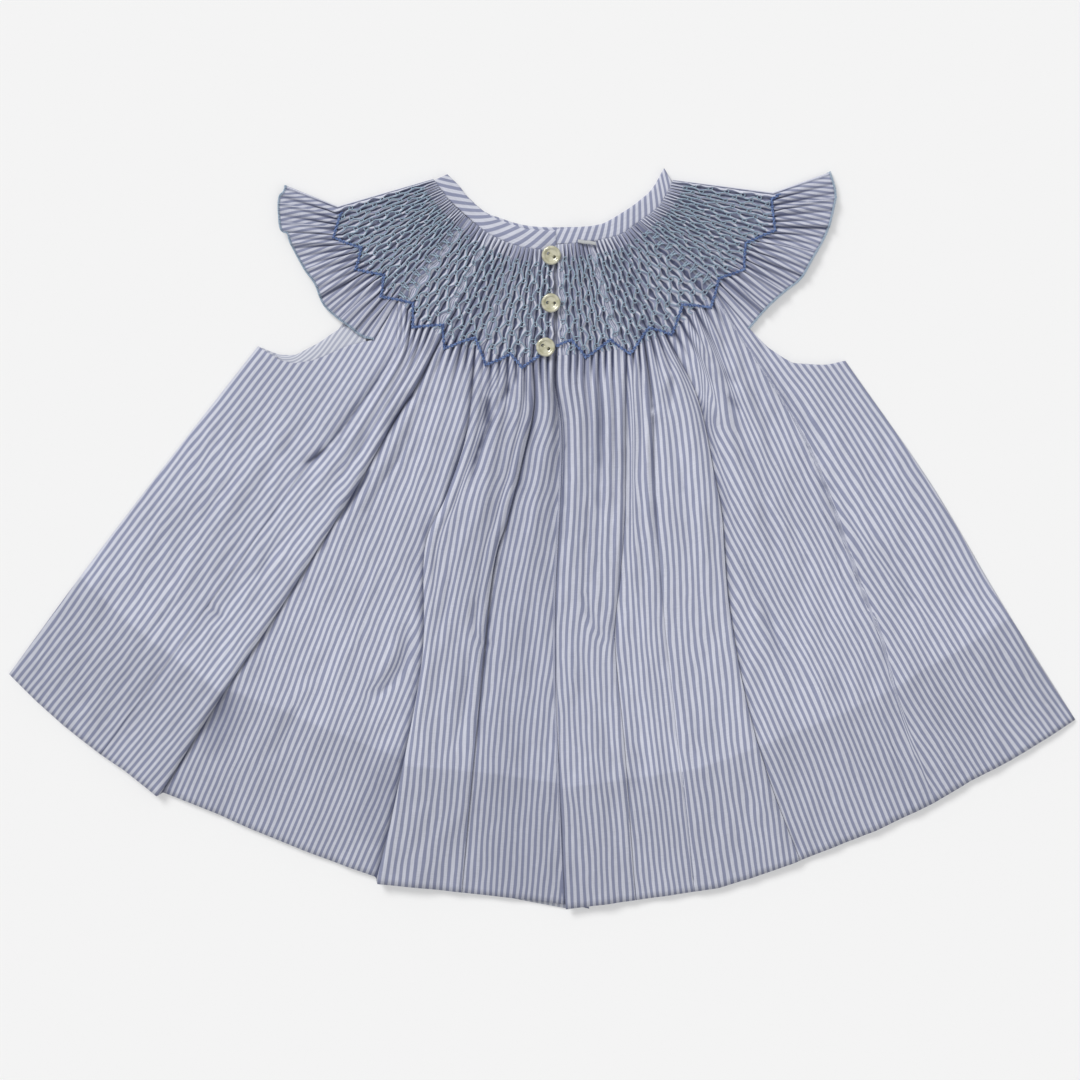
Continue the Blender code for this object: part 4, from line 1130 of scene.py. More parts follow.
class BackPiece:
    """One back piece: its smocked yoke and its folded skirt as one cloth."""

    SKIRT_ROWS = 92
    YOKE_ROWS = 70
    ROLL_STEPS = (0.45, 1.1, 2.0, 3.2, 5.0)  # extra columns beside a fold's edge, in millimetres
    HIDDEN_STEPS = (0.5, 1.0, 0.5)  # places of the tucked cloth's columns, out to the crease and back
    PLACKET_SHADE, PLACKET_X, PLACKET_WIDTH = 0.13, -14.0, 34.0
    SEAM_SHADE = 0.42
    SEAM_LAP = 0.9  # how far the last pleat laps the sleeve's seam
    FRONT_LEVEL = 1.3  # height that the side seam comes down to

    def __init__(self, plan: BackPlan) -> None:
        """Lay out the piece from its plan."""
        self.plan = plan
        self.form = PleatForm(BACK_PLEATS, plan.seed)
        self.side = -1 if plan.name.startswith("left") else 1
        self.rng = np.random.default_rng(plan.seed)
        self.top = Course(plan.top, smooth=False)
        self.hem = Course(plan.hem, smooth=False)
        self.neck = Course(plan.neck)
        self.shares = np.linspace(0, 1, self.SKIRT_ROWS) ** 1.15
        self.grids: list[ClothGrid] = []

    def build(self) -> list[ClothGrid]:
        """Build the skirt and the yoke as two grids with a shared row."""
        skirt = self.skirt()
        self.grids = [self.yoke(skirt), skirt]
        # Painted shade where the cloth lies low, in valleys and beside folds.
        shade_hollows(self.grids)
        # The cloth sags towards the placket, and less light reaches it there.
        aside = (skirt.points[..., 0] - self.PLACKET_X) / self.PLACKET_WIDTH
        shaded = self.PLACKET_SHADE * np.exp(-(aside**2))
        for crease in self.plan.creases:
            if crease.shade:
                shaded = shaded + crease.shade * self.crease_profile(crease, skirt.points[..., :2])[0]
        skirt.painted_shade = skirt.painted_shade + shaded * (1 - skirt.painted_shade)
        return self.grids

    def skirt(self) -> ClothGrid:
        """Build the skirt from the last stitch row to the hem."""
        plan = self.plan
        lines = [Course(plan.start)] + [Course(stretch.end) for stretch in plan.stretches]
        blocks: list[dict[str, np.ndarray]] = []
        before = 0
        for k, stretch in enumerate(plan.stretches):
            block = self.stretch_block(stretch, lines[k], lines[k + 1], before, k)
            if blocks:
                blocks.append(self.hidden_block(blocks[-1], block, plan.stretches[k - 1]))
            blocks.append(block)
            before += stretch.pleats
        joined = {
            key: np.concatenate([b[key] for b in blocks], axis=1) for key in ("xy", "z", "across", "pleat")
        }
        points = with_heights(joined["xy"], joined["z"])
        self.pleat_row = joined["pleat"][0]
        self.rise_creases(points)
        shown = joined["across"] + self.wander(points, joined["across"])
        drop = np.linalg.norm(np.diff(points[..., :2], axis=0), axis=2)
        fall = np.vstack([np.cumsum(drop[::-1], axis=0)[::-1], np.zeros((1, drop.shape[1]))])
        # Painted shade deep in the valleys between the pleats, just under the smocking.
        valley = 1 - crest(joined["pleat"])
        painted_shade = 0.6 * np.clip((valley - 0.6) / 0.4, 0, 1) * (1 - smooth_step(self.shares / 0.06))[:, None]
        painted_shade = painted_shade * (joined["pleat"] < BACK_PLEATS - 0.1) * (joined["pleat"] > 0.1)
        self.across_row = shown[0]
        return ClothGrid(points, shown, fall, painted_shade)

    def stretch_block(
        self, stretch: Stretch, start: Course, end: Course, before: int, number: int
    ) -> dict[str, np.ndarray]:
        """Lay out the cloth that shows between two lines.

        Args:
            stretch: its guides, pleats and heights.
            start: its line on the centre side.
            end: its line on the other side.
            before: pleats before it.
            number: its place in the row of stretches.

        Returns:
            Plan points, heights, places in the cut cloth and the pleat count, by row and column.
        """
        s = self.shares
        starts, ends = start.at(s), end.at(s)
        width = np.maximum(np.linalg.norm(ends - starts, axis=1), 2.0)
        count = stretch.columns or max(stretch.pleats * COLUMNS_PER_PLEAT, 24)
        base = np.linspace(0, 1, count)
        extra = np.array(self.ROLL_STEPS) if stretch.pleats else np.array([])
        last = np.minimum(extra[-1] / width, 0.2) if len(extra) else np.zeros(len(s))
        middle = last[:, None] + base[None] * (1 - 2 * last[:, None])
        if len(extra):
            near = np.hstack([np.zeros((len(s), 1)), extra[None, :-1] / extra[-1] * last[:, None]])
            t = np.hstack([near, middle, 1 - near[:, ::-1]])
        else:
            t = middle
        xy = between(starts[:, None], ends[:, None], t)
        top_ends = [self.top.share_near(line.points[0]) for line in (start, end)]
        hem_ends = [self.hem.share_near(line.points[-1]) for line in (start, end)]
        tt, th = t[:1], t[-1:]
        flat_top = between(start.at(0), end.at(0), tt)
        flat_hem = between(start.at(1), end.at(1), th)
        true_top = self.top.at(top_ends[0] * (1 - tt) + top_ends[1] * tt)
        true_hem = self.hem.at(hem_ends[0] * (1 - th) + hem_ends[1] * th)
        moved = (
            ((1 - s) ** 4)[:, None, None] * (true_top - flat_top)
            + (s**4)[:, None, None] * (true_hem - flat_hem)
        )
        xy = xy + moved
        across, density = self.read_guides(stretch, xy)
        pleat = before + t * stretch.pleats if stretch.pleats else np.full_like(t, float(before))
        gathered, ahead = self.gathers(stretch, pleat, t)
        if stretch.pleats:
            # Ridges show true-width stripes, and valleys take the rest of the cloth.
            narrower = 1 + 0.8 * (1 - smooth_step(s / 0.08))[:, None]
            closed = np.clip(1 - narrower / np.maximum(smoothed(density, 4), 0.5), 0, 0.85)
            per_pleat = smoothed(
                np.gradient(across, axis=1) / np.maximum(np.gradient(pleat, axis=1), 1e-6), 4
            )
            across = across + closed * per_pleat * ahead
        ease = smooth_step(s / FOLD_START)[:, None]
        low = three_heights(stretch.start_rise, s)[:, None] * ease
        high = three_heights(stretch.end_rise, s)[:, None] * ease
        rise = low + (high - low) * smooth_step(t)
        folded_start = number > 0 and any(self.plan.stretches[number - 1].tuck)
        distance = (t * width[:, None], (1 - t) * width[:, None])
        for side, folded, height in ((0, folded_start, low), (1, any(stretch.tuck), high)):
            if folded:
                # The cloth rolls over at the fold: a low edge, and a swell just inside it.
                on_top = self.plan.stretches[number - 1 + side].tuck[1] * (1 if side else -1) > 0
                if on_top:
                    near = np.exp(-((distance[side] / 1.5) ** 2))
                    swell = np.exp(-(((distance[side] - 3.2) / 2.6) ** 2))
                    rise = rise - 0.42 * height * near + 0.12 * height * swell
        z = BACK_FACE + rise + gathered + self.lift(xy)
        return {"xy": xy, "z": z, "across": across, "pleat": pleat}

    def gathers(self, stretch: Stretch, pleat: np.ndarray, t: np.ndarray) -> tuple[np.ndarray, np.ndarray]:
        """Shape the ridges that the pleats open into under the smocking.

        Args:
            stretch: the stretch of cloth.
            pleat: the pleat count at each point.
            t: each point's place across the stretch.

        Returns:
            The ridges' height in millimetres, and how far the cloth runs ahead in them, in pleats.
        """
        height, ahead = np.zeros_like(t), np.zeros_like(t)
        if not stretch.pleats:
            return height, ahead
        s = self.shares[:, None]
        inside = smooth_step(np.minimum(t, 1 - t) * stretch.pleats / 0.9)
        drift = 0.35 * np.sin(0.9 * pleat + self.plan.seed) + 0.3 * np.sin(0.37 * pleat + 2.0) + 1.2 * s
        uneven = 0.74 + 0.26 * np.sin(2.3 * pleat + 5 * s + self.plan.seed)
        total = np.zeros_like(s)
        table = np.array(sorted((*self.plan.fan_valleys, *self.plan.fan_ridges)))
        half_turns = np.arange(len(table))
        for gather in (*GATHERS, FANS):
            weight = smooth_step((s - gather.rising[0]) / (gather.rising[1] - gather.rising[0]))
            weight = (
                weight * (1 - smooth_step((s - gather.fading[0]) / (gather.fading[1] - gather.fading[0])))
            )
            held = weight if gather.count == 1 else weight * inside * uneven
            turn, span = 2 * math.pi * (pleat + gather.drift * drift) / gather.count, float(gather.count)
            if gather is FANS:
                moved = pleat + 0.5 * (drift - 1.2 * s) * smooth_step(s / 0.3)
                turn = math.pi * np.interp(moved, table, half_turns)
                span = 2 * np.diff(table)[np.clip(np.searchsorted(table, moved) - 1, 0, len(table) - 2)]
            height += gather.height * held * ((1 - np.cos(turn)) / 2) ** gather.power
            ahead += span * weight * (1 if gather.count == 1 else inside) * gather.lead(turn)
            total += weight
        return height, ahead / np.maximum(total, 1)

    def read_guides(self, stretch: Stretch, xy: np.ndarray) -> tuple[np.ndarray, np.ndarray]:
        """Read each point's place in the cut cloth from the threads on either side of it.

        Args:
            stretch: the stretch, whose guides run outwards from the centre.
            xy: plan points.

        Returns:
            Places in the cut cloth, and how much cloth lies in a millimetre.
        """
        aside = [self.side * Course(guide.course).beside(xy) for guide in stretch.guides]
        values = [guide.across for guide in stretch.guides]
        across, density = values[0] + SLACK * aside[0], np.ones_like(aside[0])
        for k in range(len(values) - 1):
            slope = (values[k + 1] - values[k]) / np.maximum(aside[k] - aside[k + 1], 0.8)
            inside = (aside[k] >= 0) & (aside[k + 1] < 0)
            beyond = aside[k + 1] >= 0
            between = values[k] + slope * aside[k]
            pinch = stretch.guides[k].pinch
            if pinch:
                from_last, to_next = values[k] + SLACK * aside[k], values[k + 1] + SLACK * aside[k + 1]
                part = smooth_step(self.side * Course(pinch).beside(xy) / PINCH_WIDTH + 0.5)
                between, slope = from_last + (to_next - from_last) * part, np.ones_like(slope)
            across = np.where(inside, between, across)
            across = np.where(beyond, values[k + 1] + SLACK * aside[k + 1], across)
            density = np.where(inside, slope, np.where(beyond, 1.0, density))
        return across, density

    def hidden_block(
        self, last: dict[str, np.ndarray], following: dict[str, np.ndarray], stretch: Stretch
    ) -> dict[str, np.ndarray]:
        """Tuck the cloth between two stretches out of sight in a flat fold.

        Args:
            last: the stretch before the fold.
            following: the stretch after it, whose first column is moved under or over the fold.
            stretch: the earlier stretch, which holds the tuck's width.

        Returns:
            The tucked cloth's columns.
        """
        s = self.shares
        edge, onward = last["xy"][:, -1], following["xy"][:, 0]
        tuck = three_heights(stretch.tuck, s) * smooth_step(s / (0.6 * FOLD_START)) + 0.02
        normal = course_normals(edge)
        # To the left of a line that runs down is towards +X.
        towards_centre = normal * (1 if self.side < 0 else -1)
        crease = edge + towards_centre * tuck[:, None]
        z_edge, z_onward = last["z"][:, -1], following["z"][:, 0]
        z_crease = (z_edge + z_onward) / 2
        count = len(self.HIDDEN_STEPS)
        xy = np.empty((len(s), count, 2))
        z = np.empty((len(s), count))
        for k, reach in enumerate(self.HIDDEN_STEPS):
            anchor, z_anchor = (edge, z_edge) if k < count // 2 else (onward, z_onward)
            if k == count // 2:
                anchor = crease
            xy[:, k] = anchor + (crease - anchor) * reach
            z[:, k] = z_anchor + (z_crease - z_anchor) * reach
        part = (np.arange(count) + 1) / (count + 1)
        mixed = {}
        for key in ("across", "pleat"):
            a, b = last[key][:, -1:], following[key][:, :1]
            mixed[key] = a + (b - a) * part[None]
        return {"xy": xy, "z": z, **mixed}

    def lift(self, xy: np.ndarray) -> np.ndarray:
        """How far the cloth is raised where it laps the other back."""
        if self.plan.lap_end is None:
            return np.zeros(xy.shape[:-1])
        edge = Course(self.plan.lap_end)
        border = np.interp(xy[..., 1], edge.points[::-1, 1], edge.points[::-1, 0])
        return LAP_LIFT * smooth_step((border + 12 - xy[..., 0]) / 14)

    def rise_creases(self, points: np.ndarray) -> None:
        """Raise the long soft waves and the creases, and lower the side seam."""
        s = self.shares[:, None]
        for _ in range(5):
            across_wave, down_wave = self.rng.uniform(14, 34), self.rng.uniform(60, 170)
            turn, phase = self.rng.uniform(-0.5, 0.5), self.rng.uniform(0, 2 * math.pi)
            x = points[..., 0] + turn * points[..., 1]
            wave = np.sin(
                2 * math.pi * x / across_wave + phase + 1.3 * np.sin(2 * math.pi * points[..., 1] / down_wave)
            )
            points[..., 2] += 0.11 * wave * smooth_step((s - 0.1) / 0.25)
        points[..., 2] += 0.2 * self.slack(points) * smooth_step((s - 0.06) / 0.2)
        for crease in self.plan.creases:
            profile, _ = self.crease_profile(crease, points)
            points[..., 2] += CREASE_GAIN * crease.rise * profile
        # The side seam joins the front, which lies lower.
        side = LEFT_SIDE if self.side < 0 else RIGHT_SIDE
        seam = Course(side)
        border = np.interp(points[..., 1], seam.points[::-1, 1], seam.points[::-1, 0])
        inward = np.abs(border - points[..., 0])
        drop = np.where(points[..., 1] < seam.points[0, 1] + 3, np.exp(-inward / 5.0), 0)
        points[..., 2] -= drop * (points[..., 2] - self.FRONT_LEVEL) * 0.85

    def slack(self, points: np.ndarray) -> np.ndarray:
        """Small uneven waves of cloth that was not pressed flat, from about -1.5 to 1.5."""
        x, y = points[..., 0], points[..., 1]
        lean = x + self.side * 0.45 * np.abs(x - 0.2 * self.side) * (y / 200)
        total = np.zeros_like(x)
        for _ in range(9):
            across_wave, down_wave = self.rng.uniform(7, 19), self.rng.uniform(26, 80)
            turn, phases = self.rng.uniform(-0.35, 0.35), self.rng.uniform(0, 6, 3)
            patch = np.clip(
                np.sin(2 * math.pi * y / down_wave + 1.5 * np.sin(x / 23 + phases[0]) + phases[1]) - 0.1, 0, 1
            )
            total += patch * np.sin(2 * math.pi * (lean + turn * y) / across_wave + phases[2])
        return total

    def crease_profile(self, crease: Crease, points: np.ndarray) -> tuple[np.ndarray, np.ndarray]:
        """Measure how much each point takes part in a crease.

        Args:
            crease: the crease.
            points: the cloth's points.

        Returns:
            A share from 0 to 1, and the signed distance to its line.
        """
        line = Course(crease.course)
        stations = line.at(np.linspace(0, 1, 40))
        normals = course_normals(stations)
        ends = np.sin(np.linspace(0, math.pi, 40)) ** 0.6
        flat = points[..., :2].reshape(-1, 2)
        reach = 3.2 * crease.width
        low, high = stations.min(0) - reach, stations.max(0) + reach
        near = ((flat > low) & (flat < high)).all(1)
        profile, signed = np.zeros(len(flat)), np.zeros(len(flat))
        if near.any():
            offset = flat[near][:, None] - stations[None]
            nearest = (offset**2).sum(2).argmin(1)
            picked = offset[np.arange(len(nearest)), nearest]
            apart = np.linalg.norm(picked, axis=1)
            profile[near] = np.exp(-((apart / crease.width) ** 2)) * ends[nearest]
            signed[near] = (picked * normals[nearest]).sum(1)
        return profile.reshape(points.shape[:2]), signed.reshape(points.shape[:2])

    def wander(self, points: np.ndarray, across: np.ndarray) -> np.ndarray:
        """How far the stripes are drawn sideways by creases and slack."""
        moved = np.zeros(across.shape)
        for crease in self.plan.creases:
            if crease.pull or crease.bend:
                profile, signed = self.crease_profile(crease, points)
                moved += (0.7 * self.side * crease.pull * signed + crease.bend) * profile
        phase = self.rng.uniform(0, 6, 3)
        x, y = points[..., 0], points[..., 1]
        moved += (
            0.6 * np.sin(y / 31 + phase[0] + x / 55)
            + 0.4 * np.sin(y / 13 + phase[1] - x / 19) * np.sin(y / 47 + x / 31)
        )
        moved += 0.15 * self.slack(points)
        return moved * smooth_step((self.shares - 0.05) / 0.3)[:, None]

    def yoke(self, skirt: ClothGrid) -> ClothGrid:
        """Build the smocked yoke, from the neck seam to the skirt's first row."""
        inside = np.nonzero(self.pleat_row <= BACK_PLEATS + 1e-9)[0]
        stop = inside[self.pleat_row[inside] < BACK_PLEATS - 1e-9][-1] + 2
        pleat = self.pleat_row[:stop]
        bottom = skirt.points[0, :stop, :2]
        start = self.neck.share_near(self.plan.neck_start)
        plain = pleat <= 1e-9
        first = np.nonzero(~plain)[0][0]
        neck_share = start + (1 - start) * pleat / BACK_PLEATS
        if first > 1:
            neck_share[:first] = np.linspace(0, start, first)
        top = self.neck.at(neck_share)
        share = np.linspace(0, 1, self.YOKE_ROWS)[:, None]
        sway = self.form.sway(pleat[None], share) * smooth_step((1 - share) / 0.05)
        xy = between(top[None], bottom[None], share)
        pleat_step = np.maximum(np.gradient(pleat), 1e-3)
        direction = np.gradient(xy, axis=1) / pleat_step[None, :, None]
        direction[:, plain] = 0
        size = np.linalg.norm(direction, axis=2, keepdims=True)
        direction *= np.minimum(1, 6.0 / np.maximum(size, 1e-6))
        xy = xy + direction * sway[..., None]
        # The last pleat's outer side laps the sleeve's seam.
        lap = smooth_step((pleat - BACK_PLEATS + 0.5) / 0.5)[None] * smooth_step((1 - share) / 0.06)
        xy = xy + self.SEAM_LAP * lap[..., None] * unit(xy[:, -1:] - xy[:, -3:-2])
        height = np.where(plain, 0, self.form.height(pleat[None], share))
        height = np.maximum(height, 0.5 * lap)
        ribs = np.where(plain, 0, PLEAT_HEIGHT_YOKE * crest(pleat) ** RIB_POWER)
        base = skirt.points[0, :stop, 2] - ribs
        z = base[None] + height
        z = z + (skirt.points[0, :stop, 2] - z[-1])[None] * smooth_step((share - 0.9) / 0.1)
        down = np.linalg.norm(bottom - top, axis=1)
        fall = skirt.fall[0, :stop] + (1 - share) * down[None]
        # The crests show narrower stripes than flat cloth does, and fewer of them near the neck.
        closed = 0.74 - 0.3 * smooth_step(share / 0.4)
        across = YOKE_CLOTH * (pleat[None] + closed * GATHERS[0].lead(2 * math.pi * pleat)[None])
        across = np.where(plain[None], np.broadcast_to(self.across_row[None, :stop], fall.shape), across)
        # Painted shade between the pleats, and beside the sleeve's seam.
        painted_shade = np.where(plain, 0, self.form.painted_shade(pleat[None], share))
        painted_shade = np.maximum(painted_shade, self.SEAM_SHADE * smooth_step((pleat - BACK_PLEATS + 1) / 0.4)[None])
        self.yoke_pleat = pleat
        return ClothGrid(with_heights(xy, z), across, fall, painted_shade)

    def yoke_point(self, pleat: np.ndarray, share: np.ndarray) -> np.ndarray:
        """Points on the yoke's surface at these pleat counts and shares of its depth."""
        grid = self.grids[0].points
        rows = np.clip(share, 0, 1) * (grid.shape[0] - 1)
        # The pleats start at the last plain column.
        first = max(int(np.nonzero(self.yoke_pleat > 1e-9)[0][0]) - 1, 0)
        columns = np.interp(pleat, self.yoke_pleat[first:], np.arange(first, grid.shape[1]))
        return read_grid(grid, rows, columns)


@dataclass(frozen=True)
class SleevePlan:
    """The curves of one sleeve, from the back seam to the shoulder's fold."""

    name: str
    node: str
    neck: Points
    smocking_end: Points
    ruffle_edge: Points
    under_smocking_end: Points
    under_ruffle_edge: Points
    # Place along the edge, reach, height and hidden cloth of each ruffle fold.
    lobes: tuple[tuple[float, float, float, float], ...]
    pleat_cloth: float = 6.2
    seed: int = 3


LEFT_SLEEVE = SleevePlan(
    name="left_sleeve_cloth",
    node="sleeve_left",
    neck=((-41.9, 176.9), (-50, 184.5), (-55.5, 191.5), (-60, 197.5)),
    smocking_end=((-79.9, 131.3), (-93.5, 146), (-107, 162), (-112.5, 172.5), (-112.5, 182.5)),
    ruffle_edge=(
        (-93.5, 109.3), (-99.5, 111), (-106.5, 116.5), (-113, 121), (-120.5, 128.5), (-125, 139.5),
        (-131, 148), (-138.5, 162), (-140, 167), (
            -143.6, 169.2
        ), (-145, 177.5), (-144.8, 187.5), (-142.4, 190.2), (-141.2, 194),
    ),
    under_smocking_end=((-79.9, 135), (-93.5, 147), (-107, 162), (-112.5, 172.5), (-112.5, 182.5)),
    under_ruffle_edge=(
        (-98, 129), (-110, 131), (-118, 136), (-125, 145), (-134, 160), (-141, 172), (-142, 186),
        (-140.5, 194),
    ),
    lobes=(
        (0.1, 0.05, 0.9, 1.5), (0.2, -0.06, 1.2, 3.0), (0.36, 0.07, 1.1, 2.5), (0.52, -0.05, 0.8, 1.5),
        (0.66, 0.06, 1.1, 2.5), (0.8, -0.05, 1.5, 4.0), (0.9, -0.04, 1.0, 2.5)
    ),
    seed=3,
)
RIGHT_SLEEVE = SleevePlan(
    name="right_sleeve_cloth",
    node="sleeve_right",
    neck=((52.4, 173.4), (62.5, 181), (68, 188.5), (72, 197)),
    smocking_end=((95.9, 136.9), (105, 148.5), (118, 162.5), (126.5, 177.5), (127, 190)),
    ruffle_edge=(
        (114, 116), (123.5, 127), (133.5, 136), (142, 143), (149, 155), (154, 163.5), (157.5, 172),
        (160.5, 184.5), (160.8, 191), (158, 201),
    ),
    under_smocking_end=((95.9, 136.9), (105, 148.5), (118, 162.5), (126.5, 177.5), (127, 190)),
    under_ruffle_edge=(
        (112.2, 119.5), (122, 130), (132, 138), (140, 145), (147, 156), (155, 173), (158, 186), (158, 201),
    ),
    lobes=(
        (0.12, 0.06, 1.0, 2.5), (0.27, -0.06, 1.1, 2.5), (0.4, 0.06, 0.9, 2.0), (0.55, -0.06, 1.2, 3.0),
        (0.7, 0.06, 1.0, 2.5), (0.86, -0.05, 1.2, 3.0)
    ),
    seed=5,
)


class SleevePiece:
    """A flutter sleeve, smocked at the shoulder and ruffled at its edge, with half folded under it."""

    SMOCKED_ROWS = 76
    RUFFLE_ROWS = 26
    TURN_COLUMNS = 6
    UNDER_COLUMNS = 60
    TURN = 0.985  # where the top layer starts to turn over
    UNDER_TURN = 0.97  # and where the lower one ends it
    SEAM_SHADE = 0.5
    FAR_FROM_HEM = 400.0
    RUFFLE_FADE = 0.56  # how much lower the pleats are at the ruffle's edge
    RUFFLE_SHADE = 0.07

    def __init__(self, plan: SleevePlan) -> None:
        """Lay out the sleeve's curves."""
        self.plan = plan
        self.form = PleatForm(SLEEVE_PLEATS, plan.seed, 0.8)
        self.over = [Course(c) for c in (plan.neck, plan.smocking_end, plan.ruffle_edge)]
        self.under = [Course(c) for c in (plan.neck, plan.under_smocking_end, plan.under_ruffle_edge)]

    def stations(self, curves: list[Course], t: np.ndarray, share: np.ndarray, part: int) -> np.ndarray:
        """Plan points between two of the curves, at places t along them and shares of the way."""
        return between(curves[part].at(t), curves[part + 1].at(t), share)

    def build(self) -> list[ClothGrid]:
        """Build the sleeve as one grid, whose rows run from the back seam over the shoulder to the front."""
        count = SLEEVE_PLEATS * COLUMNS_PER_PLEAT + 1
        pleat = np.linspace(0, SLEEVE_PLEATS, count)[None]
        over_t = self.TURN * pleat / SLEEVE_PLEATS
        blocks = []
        for part, rows in ((0, self.SMOCKED_ROWS), (1, self.RUFFLE_ROWS)):
            share = np.linspace(0, 1, rows)[:, None]
            blocks.append(self.block(part, share, pleat, over_t))
        smocked, ruffle = blocks
        self.top_grid = smocked
        joined = [np.vstack([a, b[1:]]) for a, b in zip(smocked, ruffle)]
        top = ClothGrid(*[part[:, :count].copy() for part in joined])
        # Painted shade in the low places of the smocked half.
        shade_hollows([top], 0.85)
        joined[3][:, :count] = top.painted_shade
        self.grids = [ClothGrid(*joined)]
        self.over_columns = count
        return self.grids

    def block(
        self, part: int, share: np.ndarray, pleat: np.ndarray, over_t: np.ndarray
    ) -> tuple[np.ndarray, ...]:
        """Build the smocked part (0) or the ruffle (1).

        Args:
            part: which of the two.
            share: shares of the way down it, as a column.
            pleat: pleat counts, as a row.
            over_t: places along the curves, as a row.

        Returns:
            The arrays of a cloth grid.
        """
        ones = np.ones_like(share)
        at_seam = smooth_step(1 - 3 * pleat)
        if part == 0:
            sway = self.form.sway(pleat, share) * smooth_step((1.04 - share) / 0.1)
            height = np.maximum(self.form.height(pleat, share), 0.4 * at_seam)
            # Painted shade between the pleats and beside the back's seam.
            near_seam = self.SEAM_SHADE * smooth_step(2 - 3 * pleat)
            painted_shade = np.maximum(self.form.painted_shade(pleat, share), near_seam)
        else:
            sway = self.form.sway(pleat, ones + 0.3 * share) * (1 - smooth_step(share / 0.7))
            height = self.form.height(pleat, ones) * (1 - self.RUFFLE_FADE * smooth_step(share / 0.95))
            # Painted shade on the ruffle: a little all over, and between the pleats, less of it further down.
            lighter = 1 - 0.6 * smooth_step(share / 0.7)
            painted_shade = self.RUFFLE_SHADE + self.form.painted_shade(pleat, ones) * lighter
        t = over_t + sway * self.TURN / SLEEVE_PLEATS
        xy = self.stations(self.over, np.clip(t, 0, self.TURN), np.broadcast_to(share, t.shape), part)
        # The back edge laps the seam, so that no gap shows.
        xy = xy + (0.3 + 0.6 * part) * at_seam[..., None] * unit(xy[:, :1] - xy[:, 4:5])
        raised, hidden = (part * change for change in self.flutter(over_t, share))
        z = BACK_FACE + height + 0.25 * part * at_seam + raised
        rows, more = len(share), self.TURN_COLUMNS + self.UNDER_COLUMNS
        across = np.broadcast_to(self.plan.pleat_cloth * pleat, (rows, pleat.size))
        run = float(np.linalg.norm(self.over[part + 1].at(0.5) - self.over[part].at(0.5)))
        fall = np.broadcast_to(self.FAR_FROM_HEM - part * 50 - share * run, (rows, pleat.size))
        under_t = np.linspace(1, 0, self.UNDER_COLUMNS)[None]
        turn_t = np.linspace(0, 1, self.TURN_COLUMNS + 2)[None, 1:-1]
        under_share = np.broadcast_to(share, (rows, self.UNDER_COLUMNS))
        fold = self.stations(self.over, np.full((rows, 1), 1.0), share, part)
        last = xy[:, -1:]
        first_under = self.stations(self.under, np.full((rows, 1), self.UNDER_TURN), share, part)
        angle = math.pi * turn_t
        turn_xy = between(last, first_under, smooth_step(turn_t))
        turn_xy = turn_xy + (fold - (last + first_under) / 2) * np.sin(angle)[..., None]
        under_places = self.UNDER_TURN * np.broadcast_to(under_t, under_share.shape)
        under_xy = self.stations(self.under, under_places, under_share, part)
        under_pleat = SLEEVE_PLEATS * (2 - under_t)
        under_z = CLOTH_THICKNESS + np.broadcast_to(0.5 * crest(under_pleat), under_share.shape)
        top_z, low_z = z[:, -1:], under_z[:, :1]
        turn_z = (top_z + low_z) / 2 + (top_z - low_z) / 2 * np.cos(angle)
        points = with_heights(
            np.concatenate([xy, turn_xy, under_xy], axis=1), np.concatenate([z, turn_z, under_z], axis=1)
        )
        beyond = np.concatenate([SLEEVE_PLEATS + 0.8 * turn_t, 0.2 + under_pleat], axis=1)
        # The ruffle opens, so its stripes show at their true width.
        closed = 0.42 - 0.3 * part * smooth_step(share)
        across = (
            across + closed * self.plan.pleat_cloth / (2 * math.pi) * np.sin(2 * math.pi * pleat) + hidden
        )
        full_across = np.hstack([across, np.broadcast_to(self.plan.pleat_cloth * beyond, (rows, more))])
        full_fall = np.hstack([fall, np.broadcast_to(fall[:, :1], (rows, more))])
        return points, full_across, full_fall, np.hstack([painted_shade, np.zeros((rows, more))])

    def flutter(self, t: np.ndarray, share: np.ndarray) -> tuple[np.ndarray, np.ndarray]:
        """Shape the ruffle's folds.

        Args:
            t: places along the sleeve's curves.
            share: shares of the way down the ruffle.

        Returns:
            How far they raise the cloth and how much cloth they hide, in millimetres.
        """
        raised = np.zeros(np.broadcast_shapes(t.shape, share.shape))
        hidden = np.zeros_like(raised)
        for place, reach, height, cloth in self.plan.lobes:
            apart = (t - place) * np.sign(reach)
            edge = smooth_step(apart / 0.012 + 0.5)
            raised += height * edge * np.exp(-np.maximum(apart, 0) / abs(reach)) * smooth_step(share / 0.6)
            hidden += cloth * smooth_step((t - place) / 0.012 + 0.5) * share
        waves = 0.3 * np.sin(2 * math.pi * t * 9 + self.plan.seed) + 0.2 * np.sin(2 * math.pi * t * 17 + 1.0)
        return 1.5 * raised + 0.6 * waves * smooth_step(share), hidden

    def surface(self, t: np.ndarray, share: np.ndarray) -> np.ndarray:
        """Points on the smocked half that shows, at pleat counts t and shares of the smocking's depth."""
        grid = self.top_grid[0][:, : self.over_columns]
        rows = np.clip(share, 0, 1) * (grid.shape[0] - 1)
        columns = np.clip(t / SLEEVE_PLEATS, 0, 1) * (grid.shape[1] - 1)
        return read_grid(grid, rows, columns)

    def edge_line(self) -> np.ndarray:
        """The ruffle's cut edge, from the back seam round to the front seam."""
        return self.grids[0].points[-1]


